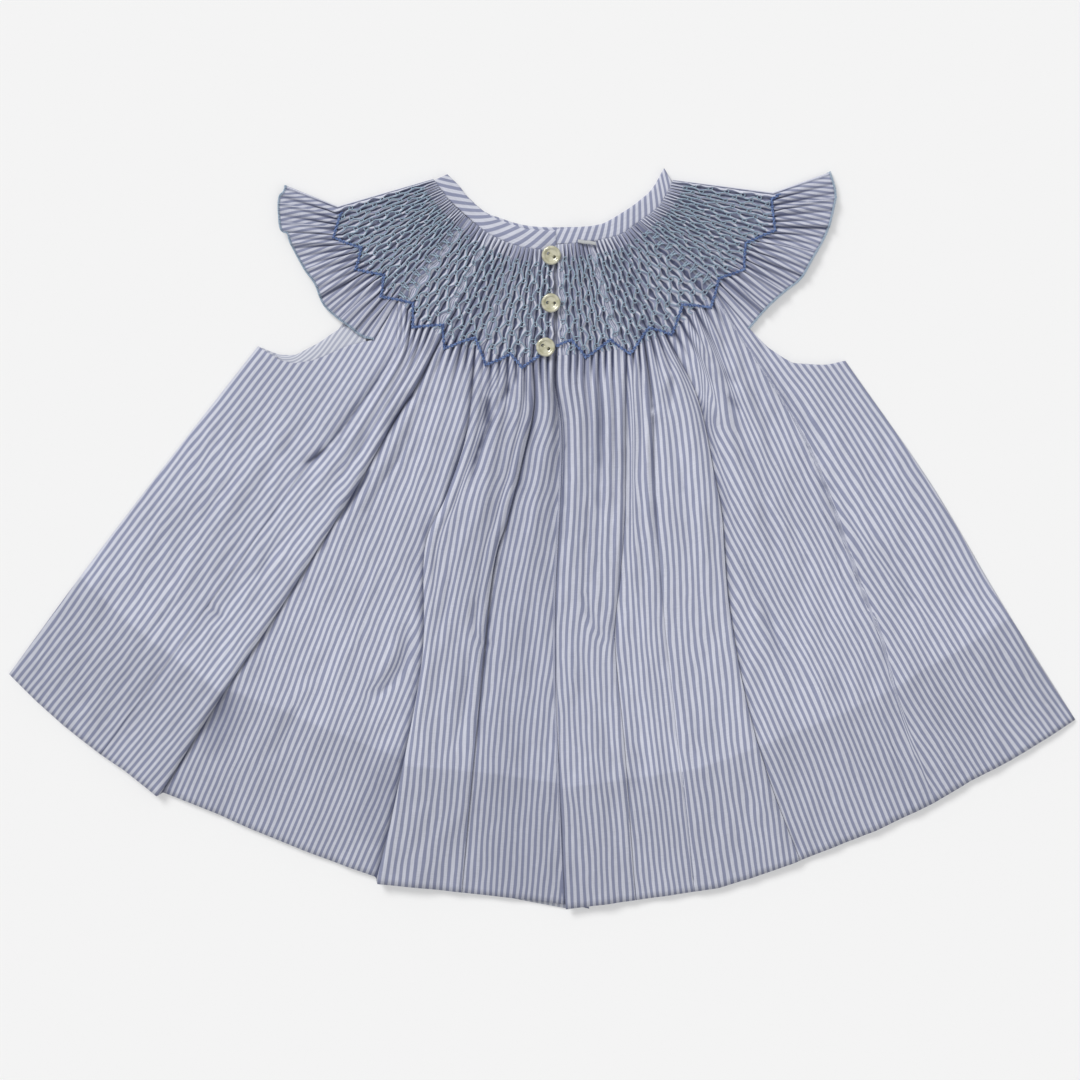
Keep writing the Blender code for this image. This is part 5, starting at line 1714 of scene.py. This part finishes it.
class FrontPiece:
    """The front of the dress, face down under the back."""

    NECK: Points = (
        (-41.3, 177.3), (-33, 170.8), (-20, 165), (0, 162.5), (20, 163), (36, 166), (51.8, 174),
    )
    TOP: Points = (
        (
            -79.5, 134
        ), (-66, 121), (-50, 111), (-30, 103), (0, 99), (30, 101), (60, 108), (80, 120), (95.2, 136),
    )
    LEFT_ARMHOLE: Points = (
        (-79.5, 134), (-97.5, 127.5), (-104.5, 124), (
            -109.5, 118.5
        ), (-114, 113), (-123, 107.5), (-129.5, 104),
        (-135.5, 101), (-141, 100.7), (-146.5, 101.5), (-156.5, 105.5),
    )
    RIGHT_ARMHOLE: Points = (
        (95.2, 136), (111.8, 118), (
            124.3, 104.8
        ), (133.3, 98.8), (138.5, 96.4), (144.5, 95.9), (156, 95.4), (167, 97.5),
    )
    ROWS = 70
    YOKE_ROWS = 30
    COLUMNS = 400
    PLEATS = 46
    HIGH, LOW = 1.2, 0.45
    ARM_COLUMNS = 50

    def build(self) -> list[ClothGrid]:
        """Build the front's smocked yoke, pressed flat, and its skirt."""
        left_arm, right_arm = Course(self.LEFT_ARMHOLE), Course(self.RIGHT_ARMHOLE)
        middle = Course(self.TOP)
        arm = self.ARM_COLUMNS
        smocked = self.COLUMNS - 2 * arm
        yoke_columns = slice(arm, arm + smocked)
        edge = np.vstack([
            left_arm.at(np.linspace(1, 0, arm + 1))[:-1],
            middle.at(np.linspace(0, 1, smocked)),
            right_arm.at(np.linspace(0, 1, arm + 1))[1:],
        ])
        hem_points = [p for p in LEFT_HEM if p[0] < 0][::-1] + list(RIGHT_HEM)
        hem = Course(tuple(hem_points), smooth=False).at(np.linspace(0, 1, self.COLUMNS))
        sides = Course(LEFT_SIDE), Course(RIGHT_SIDE)
        share = np.linspace(0, 1, self.ROWS)
        xy = between(edge[None], hem[None], share[:, None])
        place = np.linspace(0, 1, self.COLUMNS)
        for at_start, course in ((True, sides[0]), (False, sides[1])):
            true = course.at(share)
            straight = xy[:, 0] if at_start else xy[:, -1]
            weight = (1 - place if at_start else place) ** 6
            xy = xy + (true - straight)[:, None] * weight[None, :, None]
        pleat = np.zeros(self.COLUMNS)
        pleat[yoke_columns] = np.linspace(0, self.PLEATS, smocked)
        pleat[arm + smocked :] = self.PLEATS
        across = np.broadcast_to(1.12 * lengths_along(hem), (self.ROWS, self.COLUMNS))
        gather = crest(pleat[None])
        fours = (1 - np.cos(0.5 * math.pi * pleat[None] + 0.8)) / 2
        s = share[:, None]
        opened = smooth_step(s / 0.15)
        z = (
            self.HIGH
            - (self.HIGH - self.LOW) * (gather * (1 - opened) + 0.8 * fours * opened * (1 - 0.7 * s))
        )
        fall = np.linalg.norm(xy - hem[None], axis=2)
        skirt = ClothGrid(with_heights(xy, z), across, fall, np.zeros_like(z))
        neck = Course(self.NECK).at(np.linspace(0, 1, smocked))
        share = np.linspace(0, 1, self.YOKE_ROWS)[:, None]
        form = PleatForm(self.PLEATS)
        top_edge = edge[yoke_columns]
        yoke_xy = between(neck[None], top_edge[None], share)
        steps = np.gradient(yoke_xy, axis=1) / np.gradient(pleat[yoke_columns])[None, :, None]
        sway = form.sway(pleat[None, yoke_columns], share) * smooth_step((1 - share) / 0.05)
        yoke_xy = yoke_xy + steps * sway[..., None]
        yoke_z = self.HIGH - (self.HIGH - self.LOW) * gather[:, yoke_columns] * np.ones_like(share)
        yoke_fall = fall[0, yoke_columns] + (1 - share) * np.linalg.norm(neck - top_edge, axis=1)[None]
        yoke_across = np.broadcast_to(across[0, yoke_columns], yoke_z.shape)
        return [
            ClothGrid(with_heights(yoke_xy, yoke_z), yoke_across, yoke_fall, np.zeros_like(yoke_z)), skirt
        ]


@dataclass
class NeckBinding:
    """The bias strip round the neck, crowned on the back and flat on the front."""

    front_neck: Points = (
        (-60, 197.9), (-55, 192), (-49.5, 185), (
            -41.3, 177.3
        ), (-33, 170.8), (-20, 165), (0, 162.5), (20, 163),
        (36, 166), (51.8, 174), (61.9, 181.7), (67.3, 189.2), (71.4, 197.5),
    )
    front_edge: Points = (
        (-53, 200.8), (-44, 191), (-32.5, 180.3), (-24, 176.5), (-12, 172.7), (0, 171.2), (14, 171.2),
        (27, 171.8), (39, 175.5), (54, 186), (61, 193), (67.5, 204.4),
    )
    left_edge: Points = (
        (14, 168.6), (
            6.5, 169.3
        ), (-8.5, 170), (-15, 172), (-28, 177), (-39, 185.5), (-46, 194), (-53, 200.8),
    )
    left_seam: Points = (
        (14, 160.8), (5, 158.8), (-8.5, 159.8), (-19, 162.9), (-27, 166.5), (-34, 171), (-49.6, 185),
        (-55.2, 192), (-60, 197.7),
    )
    right_edge: Points = (
        (7.5, 169.5), (22, 171), (32.5, 172.5), (46.5, 180.5), (54, 186), (61.5, 193), (67.5, 204.4),
    )
    right_seam: Points = (
        (7.5, 161.8), (19, 162.3), (
            32.5, 164.3
        ), (43, 167.3), (52, 173.3), (62.5, 181.3), (68, 188.8), (72, 197),
    )
    thickness: float = 1.6
    width: float = 8.0
    seam_lap: float = 0.07  # how far the strip's seam edge laps the yoke, as a share of its width
    left_bias: float = 39.0  # degrees between the strip and its stripes
    right_bias: float = 62.0
    left_bias_stations: int = 80  # stations of the front that lie as the left back's end does
    around: int = 18
    bend_stations: int = 5
    bend_length: float = 3.0

    def section(self, edge: np.ndarray, seam: np.ndarray, low: np.ndarray, high: np.ndarray) -> np.ndarray:
        """Closed rounded sections across the strip, one for each station."""
        angle = np.linspace(0, 2 * math.pi, self.around, endpoint=False)
        across = (1 - np.cos(angle)) / 2
        crown = np.sign(np.sin(angle)) * np.abs(np.sin(angle)) ** 0.45
        reach = (1 + self.seam_lap) * across - self.seam_lap * across**2 * (across < 0.5)
        z = (low + high)[:, None] / 2 + (high - low)[:, None] / 2 * crown[None]
        return with_heights(between(edge[:, None], seam[:, None], reach[None]), z)

    def strip(
        self, edge: Points, seam: Points, low: Heights, high: Heights, count: int, span: tuple[float, float]
    ) -> tuple[np.ndarray, np.ndarray]:
        """One run of the strip.

        Args:
            edge: its neck edge.
            seam: its seam edge.
            low: function of the neck edge's points that gives its lowest height.
            high: the same for its highest.
            count: number of stations.
            span: shares of the curves at its two ends.

        Returns:
            Its sections and each station's distance along it.
        """
        shares = np.linspace(*span, count)
        edge_xy, seam_xy = Course(edge).at(shares), Course(seam).at(shares)
        along = Course(edge).length * (shares - shares[0])
        return self.section(edge_xy, seam_xy, low(edge_xy), high(edge_xy)), np.abs(along)

    def build(self, material: bpy.types.Material) -> bpy.types.Object:
        """Build the strip from the left end, round the front, to the right end."""
        floor = BACK_FACE - 1.2

        def lapped(edge: np.ndarray) -> np.ndarray:
            """Underside of the right end, which laps the left one."""
            return floor + LAP_LIFT * smooth_step((34 - edge[:, 0]) / 10)

        def pressed(edge: np.ndarray) -> np.ndarray:
            """Top of the left end, which the right one presses down."""
            return floor + self.thickness - 0.45 * smooth_step(edge[:, 0] / 6)

        left = self.strip(
            self.left_edge, self.left_seam, lambda e: np.full(len(e), floor), pressed, 90, (0, 0.985)
        )
        right = self.strip(
            self.right_edge, self.right_seam, lapped, lambda e: lapped(e) + self.thickness, 90, (0, 0.985)
        )
        front = self.strip(
            self.front_edge, self.front_neck, lambda e: np.full(len(e), 0.1),
            lambda e: np.full(len(e), FRONT_TOP - 0.1), 150, (0.02, 0.98),
        )
        # At the shoulders the strip turns over in a tight bend.
        sections = np.concatenate([
            left[0], self.bend(left[0][-1], front[0][0]), front[0],
            self.bend(front[0][-1], right[0][-1]), right[0][::-1],
        ])
        turned = self.bend_length * self.bend_shares()
        front_start = left[1][-1] + self.bend_length
        front_end = front_start + front[1][-1]
        along = np.concatenate([
            left[1], left[1][-1] + turned, front_start + front[1], front_end + turned,
            front_end + self.bend_length + right[1],
        ])
        on_left = np.arange(len(along)) < len(left[1]) + self.left_bias_stations
        bias = np.radians(np.where(on_left, self.left_bias, self.right_bias))[:, None]
        angle = np.linspace(0, 2 * math.pi, self.around, endpoint=False)
        width = self.width * (1 - np.cos(angle)) / 2
        across = along[:, None] * np.sin(bias) - width[None] * np.cos(bias)
        shape = len(along), self.around + 1
        grid = ClothGrid(
            np.concatenate([sections, sections[:, :1]], axis=1),
            np.concatenate([across, across[:, :1]], axis=1),
            np.full(shape, FAR_FROM_HEM) + np.linspace(0, self.width, self.around + 1)[None],
            np.zeros(shape),
        )
        return grid_object("neck_binding_strip", [grid, *self.caps(grid)], material, 0)

    def bend_shares(self) -> np.ndarray:
        """Places of a bend's stations, as shares of its length."""
        return np.arange(1, self.bend_stations + 1) / (self.bend_stations + 1)

    def bend(self, first: np.ndarray, last: np.ndarray) -> np.ndarray:
        """Sections that turn the strip over at a shoulder."""
        return between(first[None], last[None], self.bend_shares()[:, None])

    def caps(self, grid: ClothGrid) -> list[ClothGrid]:
        """Close the strip's two ends."""
        made = []
        for row in (0, -1):
            ring = grid.points[row]
            centre = ring[:-1].mean(0)
            points = np.stack([ring, np.broadcast_to(centre, ring.shape)])
            flat = np.broadcast_to(grid.across[row], (2, len(ring)))
            made.append(ClothGrid(points, flat, np.full(flat.shape, FAR_FROM_HEM), np.zeros(flat.shape)))
        return made


@dataclass
class ArmholeFacing:
    """The narrow bias facing inside the front's left armhole."""

    front_edge: Points = (
        (-97, 122), (-113, 114), (-123, 107.2), (-129.5, 103.7), (-135.5, 100.7), (-141, 100.4), (-146, 101.2)
    )
    back_edge: Points = (
        (-97, 107.5), (-112.5, 101.6), (-118.5, 99), (-126.5, 96.3), (-136.5, 95.2), (-143.5, 97.4),
        (-146.6, 100.4)
    )

    middle: float = 2.25
    thickness: float = 0.7
    width: float = 10.0
    length: float = 36.0 * 0.95  # across the stripes, which run slantwise over the strip
    stations: int = 60
    around: int = 15

    def build(self, material: bpy.types.Material) -> bpy.types.Object:
        """Build the strip with crowned edges."""
        shape = self.stations, self.around
        shares = np.linspace(0, 1, self.stations)
        first, last = Course(self.front_edge).at(shares), Course(self.back_edge).at(shares)
        angle = np.linspace(0, 2 * math.pi, self.around)
        part = (1 - np.cos(angle)) / 2
        z = np.broadcast_to(self.middle + self.thickness / 2 * np.sin(angle), shape)
        points = with_heights(between(first[:, None], last[:, None], part[None]), z)
        across = self.length * shares[:, None] - self.width * part[None]
        grid = ClothGrid(points, across, np.full(shape, FAR_FROM_HEM), np.zeros(shape))
        return grid_object("armhole_facing_strip", [grid], material, 0)


@dataclass
class Button:
    """A two-hole button with a raised rim, sewn on through its holes."""

    number: int
    x: float
    y: float
    turn: float
    radius: float = 5.3
    height: float = 2.6
    face: float = 0.62  # height of the sunk face, as a share of the button's
    hole_radius: float = 0.86
    hole_spacing: float = 3.7
    hole_sides: int = 24
    sides: int = 72
    thread_radius: float = 0.16
    thread_places: tuple[float, ...] = (-0.28, 0.0, 0.28)

    def profile(self) -> list[tuple[float, float]]:
        """Half of the section, from the middle of the face over the rim to the underside."""
        shares = (
            (0.0, 0.60), (0.2, 0.6), (
                0.42, 0.61
            ), (0.54, 0.64), (0.6, 0.7), (0.65, 0.8), (0.7, 0.9), (0.76, 0.97),
            (0.82, 1.0), (0.88, 0.98), (0.93, 0.9), (0.97, 0.78), (0.995, 0.62), (1.0, 0.48), (0.98, 0.32),
            (0.93, 0.18), (0.85, 0.08), (0.72, 0.02), (0.5, 0.0), (0.0, 0.0),
        )
        return [(r * self.radius, z * self.height) for r, z in shares]

    def build(
        self, pearl: bpy.types.Material, thread: bpy.types.Material
    ) -> tuple[bpy.types.Object, bpy.types.Object]:
        """Turn the button, drill it and sew it on."""
        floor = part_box(f"button_{self.number}")[0].z / MM
        sides = self.sides
        points, faces = [(0.0, 0.0, self.profile()[0][1])], []
        turn = np.linspace(0, 2 * math.pi, sides, endpoint=False)
        rings = self.profile()[1:-1]
        for r, z in rings:
            points += [(r * math.cos(a), r * math.sin(a), z) for a in turn]
        points.append((0.0, 0.0, 0.0))
        for k in range(sides):
            n = (k + 1) % sides
            faces.append((0, 1 + k, 1 + n))
            for ring in range(len(rings) - 1):
                a = 1 + ring * sides
                faces.append((a + k, a + sides + k, a + sides + n, a + n))
            last = 1 + (len(rings) - 1) * sides
            faces.append((len(points) - 1, last + n, last + k))
        disc = mesh_object(f"button_disc_{self.number}", points, faces, pearl)
        angle = math.radians(90 - self.turn)
        disc.location = (self.x * MM, self.y * MM, floor * MM)
        disc.rotation_euler.z = angle
        for side in (-1, 1):
            hole = np.array([(side * self.hole_spacing / 2, 0.0, z) for z in (-1.0, self.height + 1.0)])
            made, quads = tube(hole, self.hole_radius, self.hole_sides)
            ends = list(range(self.hole_sides))[::-1], list(range(self.hole_sides, 2 * self.hole_sides))
            cutter = bpy.data.meshes.new("drill")
            cutter.from_pydata((made * MM).tolist(), [], [*quads.tolist(), *ends])
            drill = bpy.data.objects.new("drill", cutter)
            bpy.context.scene.collection.objects.link(drill)
            drill.matrix_world = disc.matrix_basis
            bpy.context.view_layer.update()
            cut = disc.modifiers.new("hole", "BOOLEAN")
            cut.operation = "DIFFERENCE"
            cut.object = drill
            with bpy.context.temp_override(object=disc, active_object=disc, selected_objects=[disc]):
                bpy.ops.object.modifier_apply(modifier=cut.name)
            bpy.data.objects.remove(drill)
        across = np.linspace(-1, 1, 24)
        spin = np.array([[math.cos(angle), -math.sin(angle)], [math.sin(angle), math.cos(angle)]])
        x = across * self.hole_spacing / 2
        # The threads dip into the holes at both ends.
        z = floor + self.face * self.height - 0.25 - 0.7 * np.abs(across) ** 6
        lines = []
        for offset in self.thread_places:
            plan = np.stack([x, np.full_like(x, offset)], axis=1) @ spin.T + np.array([self.x, self.y])
            lines.append(with_heights(plan, z))
        return disc, strands_object(f"button_thread_{self.number}", lines, self.thread_radius, 6, thread)


@dataclass
class NeckTape:
    """The folded end of a plain tape in the neck seam."""

    centre: tuple[float, float] = (24.6, 162.2)
    size: tuple[float, float, float] = (10.2, 1.9, 0.8)
    turn: float = -8.0
    stations: int = 24
    around: int = 16

    def build(self, material: bpy.types.Material) -> bpy.types.Object:
        """Build the tape as a rounded flat roll."""
        low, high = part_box("neck_tape")
        middle = (low.z + high.z) / 2 / MM
        station = np.linspace(-0.5, 0.5, self.stations)[:, None]
        angle = np.linspace(0, 2 * math.pi, self.around, endpoint=False)[None]
        spin = math.radians(self.turn)
        ahead, side = np.array([math.cos(spin), math.sin(spin)]), np.array([-math.sin(spin), math.cos(spin)])
        length, width, thickness = self.size
        taper = 1 - 0.25 * np.abs(2 * station) ** 8
        aside = 0.12 * np.sin(9 * station) + taper * width / 2 * np.cos(angle)
        plan = np.array(self.centre) + station[..., None] * length * ahead + aside[..., None] * side
        points = with_heights(plan, middle + taper * thickness / 2 * np.sin(angle)).reshape(-1, 3)
        first = np.arange(self.stations - 1)[:, None] * self.around
        k = np.arange(self.around)
        n = (k + 1) % self.around
        quads = np.stack([first + k, first + n, first + self.around + n, first + self.around + k], axis=-1)
        ends = list(range(self.around))[::-1], list(range(len(points) - self.around, len(points)))
        return mesh_object("tape_roll", points, [*quads.reshape(-1, 4).tolist(), *ends], material)


@dataclass
class Needlework:
    """The smocking stitches, the dark cable along their lower edge and the overlocked ruffle edges."""

    stitch_radius: float = 0.32
    cable_radius: float = 0.42
    cable_pitch: float = 2.3  # millimetres from stitch to stitch
    overlock_pitch: float = 0.85
    overlock_radius: float = 0.2
    open_bands: tuple[int, ...] = (8, 10)  # stitch rows whose legs all show
    cable_left: Points = (
        (-110.5, 178.5), (-114.5, 165), (-99.5, 159.5), (-102.5, 147.5), (-87, 144.5), (-88.5, 132.5),
        (-71, 129), (-71, 115.5), (-54.5, 117), (-53.5, 104), (-37, 110), (-31, 95), (-17.5, 101),
        (-11, 93.5), (0.5, 101.5)
    )
    cable_right: Points = (
        (5.5, 104), (16, 108.5), (24, 99), (37.5, 109), (48.5, 101), (58.5, 115.5), (71, 111.5), (77, 128),
        (92.5, 126.5), (97, 142.5), (111, 147.5), (112, 162), (128, 169), (126, 186), (130, 189)
    )

    def lattice(self, point_at: Surface, pleats: int) -> list[np.ndarray]:
        """Threads that run from join to join between each two stitch rows, over the sides of the cells.

        Args:
            point_at: function of pleat counts and shares of the depth that gives points on the cloth.
            pleats: how many pleats the piece has.

        Returns:
            The threads' lines.
        """
        lines = []
        for row, (upper, lower) in enumerate(zip(STITCH_ROWS, (*STITCH_ROWS[1:], 1.0))):
            # Pleats are joined in pairs, and the pairs step by one pleat from row to row.
            for k in range((row + 1) % 2, pleats - 1, 2):
                a, b = k + 0.5, k + 1.5
                if b > pleats - 0.4:
                    continue
                bar = np.linspace(0, 1, 5)
                for lower_by, sag in ((-0.008, 0.0), (0.016, 0.014)):
                    joint = point_at(a + (b - a) * bar, upper + lower_by + sag * np.sin(math.pi * bar))
                    joint[:, 2] = np.maximum(joint[:, 2], min(joint[0, 2], joint[-1, 2]) - 0.2) + 0.28
                    lines.append(joint)
                # Between two bands of stitches only short tails show.
                band = (row + k // 2) % 4 != 1 or row in self.open_bands
                for end, step in ((b, 1), (a, -1)):
                    if not 0.4 < end + step < pleats - 0.4:
                        continue
                    for first, last in ((0.0, 1.0),) if band else ((0.0, 0.26), (0.76, 1.0)):
                        t = np.linspace(first, last, 6 if band else 3)
                        leg = point_at(end + 0.12 * step * np.sin(math.pi * t), upper + (lower - upper) * t)
                        leg[:, 2] += 0.22
                        lines.append(leg)
        return lines

    @staticmethod
    def seam_stitches(back: Surface, sleeve: Surface) -> list[np.ndarray]:
        """Stitches that join a back's last pleat to the sleeve's first one, over the seam.

        Args:
            back: function of pleat counts and shares of the depth that gives points on the back.
            sleeve: the same for the sleeve.

        Returns:
            The stitches' lines.
        """
        lines = []
        for upper, lower in zip(STITCH_ROWS, (*STITCH_ROWS[1:], 1.0)):
            for first, last in ((upper, upper), (upper + 0.02, upper + 0.02), (upper, 0.5 * (upper + lower))):
                ends = (
                    back(np.array([BACK_PLEATS - 0.5]), np.array([first]))[0],
                    sleeve(np.array([0.5]), np.array([last]))[0],
                )
                line = between(*ends, np.linspace(0, 1, 5))
                line[:, 2] += 0.3
                lines.append(line)
        return lines

    @staticmethod
    def run_on(first: tuple[float, float], last: tuple[float, float], extra: float = 0.7) -> Points:
        """A leg of the zigzag, with its ends run on past the corners and a slight bow."""
        start, end = np.array(first), np.array(last)
        ahead = (end - start) / np.linalg.norm(end - start)
        bow = 0.35 * math.sin(3.1 * first[0] + first[1]) * np.array([-ahead[1], ahead[0]])
        places = (start - extra * ahead, (start + end) / 2 + bow, end + extra * ahead)
        return tuple((float(x), float(y)) for x, y in places)

    def cable(self, course: Points, tree: BVHTree, missing: float) -> list[np.ndarray]:
        """A row of slanting stitches along a line on the cloth.

        Args:
            course: the line's plan points.
            tree: the cloth's surface.
            missing: height where there is no cloth.

        Returns:
            The stitches' lines.
        """
        line = Course(course)
        count = max(int(line.length / 0.33), 12)
        plan = line.at(np.linspace(0, 1, count))
        kernel = np.ones(5) / 5
        for k in (0, 1):
            plan[:, k] = np.convolve(np.pad(plan[:, k], 2, "edge"), kernel, "valid")
        z = np.array([height_on(tree, x, y, missing) for x, y in plan])
        reach = 5
        padded = np.pad(z, reach, "edge")
        z = np.array([np.sort(padded[k : k + 2 * reach + 1])[-3] for k in range(count)])
        z = np.convolve(np.pad(z, 3, "edge"), np.ones(7) / 7, "valid") + 0.3
        normals = course_normals(plan)
        stitches = max(round(line.length / self.cable_pitch), 2)
        u = np.linspace(0, 1, 6)
        made = []
        for k in range(stitches):
            # Each stitch starts half way beside the last and slants over it.
            place = np.clip((k + 0.5 + 1.5 * (u - 0.5)) / stitches, 0, 1) * (count - 1)
            centre = np.stack([np.interp(place, np.arange(count), plan[:, c]) for c in (0, 1)], axis=1)
            beside = np.stack([np.interp(place, np.arange(count), normals[:, c]) for c in (0, 1)], axis=1)
            uneven = math.sin(7.7 * k + line.length)
            side = self.cable_radius * (1.5 + 0.25 * uneven) * (1 - 2 * u)
            up = self.cable_radius * (0.8 * np.sin(math.pi * u) + 0.15 * uneven)
            height = np.interp(place, np.arange(count), z) + up
            made.append(with_heights(centre + beside * side[:, None], height))
        return made

    def overlock(self, edge: np.ndarray) -> list[np.ndarray]:
        """A thread wound over a cut edge, with its chain along the edge."""
        along = lengths_along(edge)
        turns = int(along[-1] / self.overlock_pitch)
        count = turns * 8
        places = np.linspace(0, along[-1], count)
        line = np.stack([np.interp(places, along, edge[:, k]) for k in range(3)], axis=1)
        normals = course_normals(line[:, :2])
        angle = 2 * math.pi * np.arange(count) / 8
        line[:, :2] += normals * (0.62 * np.cos(angle) - 0.35)[:, None]
        line[:, 2] = np.maximum(line[:, 2] + 0.38 * np.sin(angle), 0.26)
        chain = np.stack([np.interp(places[::4], along, edge[:, k]) for k in range(3)], axis=1)
        chain[:, 2] += 0.1
        return [line, chain]


class Studio:
    """The floor, the lights and the camera."""

    CAMERA_PLACE = (-1.2, -1.2, 1405.5)
    LENS, SENSOR = 85.0, 36.0
    FLOOR_SIZE = 6000.0
    SKY_POWER = 0.42
    # Each lamp's name, the direction to it, its power in watts to a square metre and its width in degrees.
    LAMPS = (
        ("key", (-0.6, 0.75, 0.85), 2.1, 24.0),
        ("glint", (-0.25, 0.45, 1.0), 0.12, 4.0),
        ("fill", (0.45, -0.7, 0.95), 0.46, 50.0),
    )

    def build(self) -> None:
        """Set up the studio."""
        mesh = bpy.data.meshes.new("floor")
        half = self.FLOOR_SIZE / 2 * MM
        mesh.from_pydata(
            [(-half, -half, 0), (half, -half, 0), (half, half, 0), (-half, half, 0)], [], [(0, 1, 2, 3)]
        )
        floor = link_object("floor", mesh, StudioFloor().make())
        world = bpy.data.worlds.new("studio")
        bpy.context.scene.world = world
        world.use_nodes = True
        background = world.node_tree.nodes["Background"]
        background.inputs["Color"].default_value = (1.0, 1.0, 1.0, 1)
        background.inputs["Strength"].default_value = self.SKY_POWER
        for lamp in self.LAMPS:
            self.sun(*lamp)
        camera = bpy.data.cameras.new("camera")
        camera.lens, camera.sensor_width = self.LENS, self.SENSOR
        camera.clip_start, camera.clip_end = 0.05, 20
        holder = bpy.data.objects.new("camera", camera)
        holder.location = [c * MM for c in self.CAMERA_PLACE]
        bpy.context.scene.collection.objects.link(holder)
        bpy.context.scene.camera = holder
        view = bpy.context.scene.view_settings
        view.view_transform, view.look = "Standard", "None"

    def sun(self, name: str, towards: tuple[float, float, float], power: float, spread: float) -> None:
        """Add a soft far lamp.

        Args:
            name: its name.
            towards: direction from the dress to the lamp.
            power: its power in watts to a square metre.
            spread: its width in degrees.
        """
        light = bpy.data.lights.new(name, "SUN")
        light.energy, light.angle = power, math.radians(spread)
        holder = bpy.data.objects.new(name, light)
        holder.rotation_euler = (-Vector(towards)).to_track_quat("-Z", "Y").to_euler()
        bpy.context.scene.collection.objects.link(holder)


@dataclass
class Dress:
    """The whole dress, built piece by piece."""

    finishes: dict[str, bpy.types.Material] = field(default_factory=dict)
    # Each button's place and the turn of its holes in degrees.
    buttons: tuple[tuple[float, float, float], ...] = ((5.0, 155.0, 120), (4.8, 128.7, 94), (1.9, 104.6, 120))

    def dress_up(self) -> None:
        """Make the finishes."""
        makers = {
            "stripe": StripedCotton("striped_cotton_face"),
            "inside": StripedCotton(
                "striped_cotton_inside", dark=(0.40, 0.42, 0.52), light=(0.64, 0.655, 0.72), hem_shade=0.97
            ),
            "teal": SpunThread("teal_thread", (0.41, 0.52, 0.62), (0.22, 0.32, 0.43)),
            "navy": SpunThread("navy_thread", (0.15, 0.24, 0.48), (0.03, 0.06, 0.19), fleck=1.1),
            "overlock": SpunThread("overlock_thread", (0.46, 0.57, 0.68), (0.3, 0.4, 0.53)),
            "sewing": SpunThread("sewing_thread", (0.42, 0.41, 0.29), (0.3, 0.29, 0.2)),
            "pearl": PearlShell("pearl"),
            "tape": PlainTape("tape"),
        }
        for key, maker in makers.items():
            self.finishes[key] = maker.make()

    def place(self, obj: bpy.types.Object, slot: Slot, *nodes: str) -> bpy.types.Object:
        """Fix a piece to the frame and hide the solids that it stands for."""
        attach(obj, "root")
        if nodes:
            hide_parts(*nodes)
        LOG.info("%s: %d faces", obj.name, len(obj.data.polygons))
        return obj

    def build(self) -> None:
        """Build every piece in order."""
        self.dress_up()
        stripe, inside = self.finishes["stripe"], self.finishes["inside"]
        backs = {"left": BackPiece(LEFT_PLAN), "right": BackPiece(RIGHT_PLAN)}
        work = Needlework()
        threads: list[np.ndarray] = []
        for side, piece in backs.items():
            grids = piece.build()
            obj = grid_object(piece.plan.name, grids, stripe, CLOTH_THICKNESS)
            self.place(obj, Slot.STRIPED, f"back_{side}")
            threads += work.lattice(piece.yoke_point, BACK_PLEATS)
        sleeves = [SleevePiece(LEFT_SLEEVE), SleevePiece(RIGHT_SLEEVE)]
        overlock = []
        for back, piece in zip(backs.values(), sleeves):
            grids = piece.build()
            obj = grid_object(piece.plan.name, grids, stripe, CLOTH_THICKNESS)
            self.place(obj, Slot.STRIPED, piece.plan.node)
            threads += work.lattice(piece.surface, SLEEVE_PLEATS)
            threads += work.seam_stitches(back.yoke_point, piece.surface)
            overlock += work.overlock(piece.edge_line())
        front = grid_object("front_cloth", FrontPiece().build(), inside, CLOTH_THICKNESS)
        self.place(front, Slot.INSIDE, "front")
        self.place(NeckBinding().build(stripe), Slot.STRIPED, "neck_binding")
        self.place(ArmholeFacing().build(inside), Slot.INSIDE, "armhole_facing_left")
        tree = surface_of([grid for piece in (*backs.values(), *sleeves) for grid in piece.grids])
        cables = []
        for corners in (work.cable_left, work.cable_right):
            for first, last in zip(corners, corners[1:]):
                cables += work.cable(work.run_on(first, last), tree, BACK_FACE)
        for name, lines, radius, sides, finish in (
            ("smocking_threads", threads, work.stitch_radius, 4, "teal"),
            ("navy_cable", cables, work.cable_radius, 6, "navy"),
            ("ruffle_overlock", overlock, work.overlock_radius, 5, "overlock"),
        ):
            self.place(strands_object(name, lines, radius, sides, self.finishes[finish]), Slot.STRIPED)
        for number, (x, y, turn) in enumerate(self.buttons, start=1):
            disc, sewing = Button(number, x, y, turn).build(self.finishes["pearl"], self.finishes["sewing"])
            self.place(disc, Slot.PEARL, f"button_{number}")
            self.place(sewing, Slot.TAPE)
        self.place(NeckTape().build(self.finishes["tape"]), Slot.TAPE, "neck_tape")


def main() -> None:
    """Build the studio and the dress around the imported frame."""
    logging.basicConfig(level=logging.INFO, format="%(message)s")
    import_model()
    Studio().build()
    Dress().build()


if __name__ == "__main__":
    main()
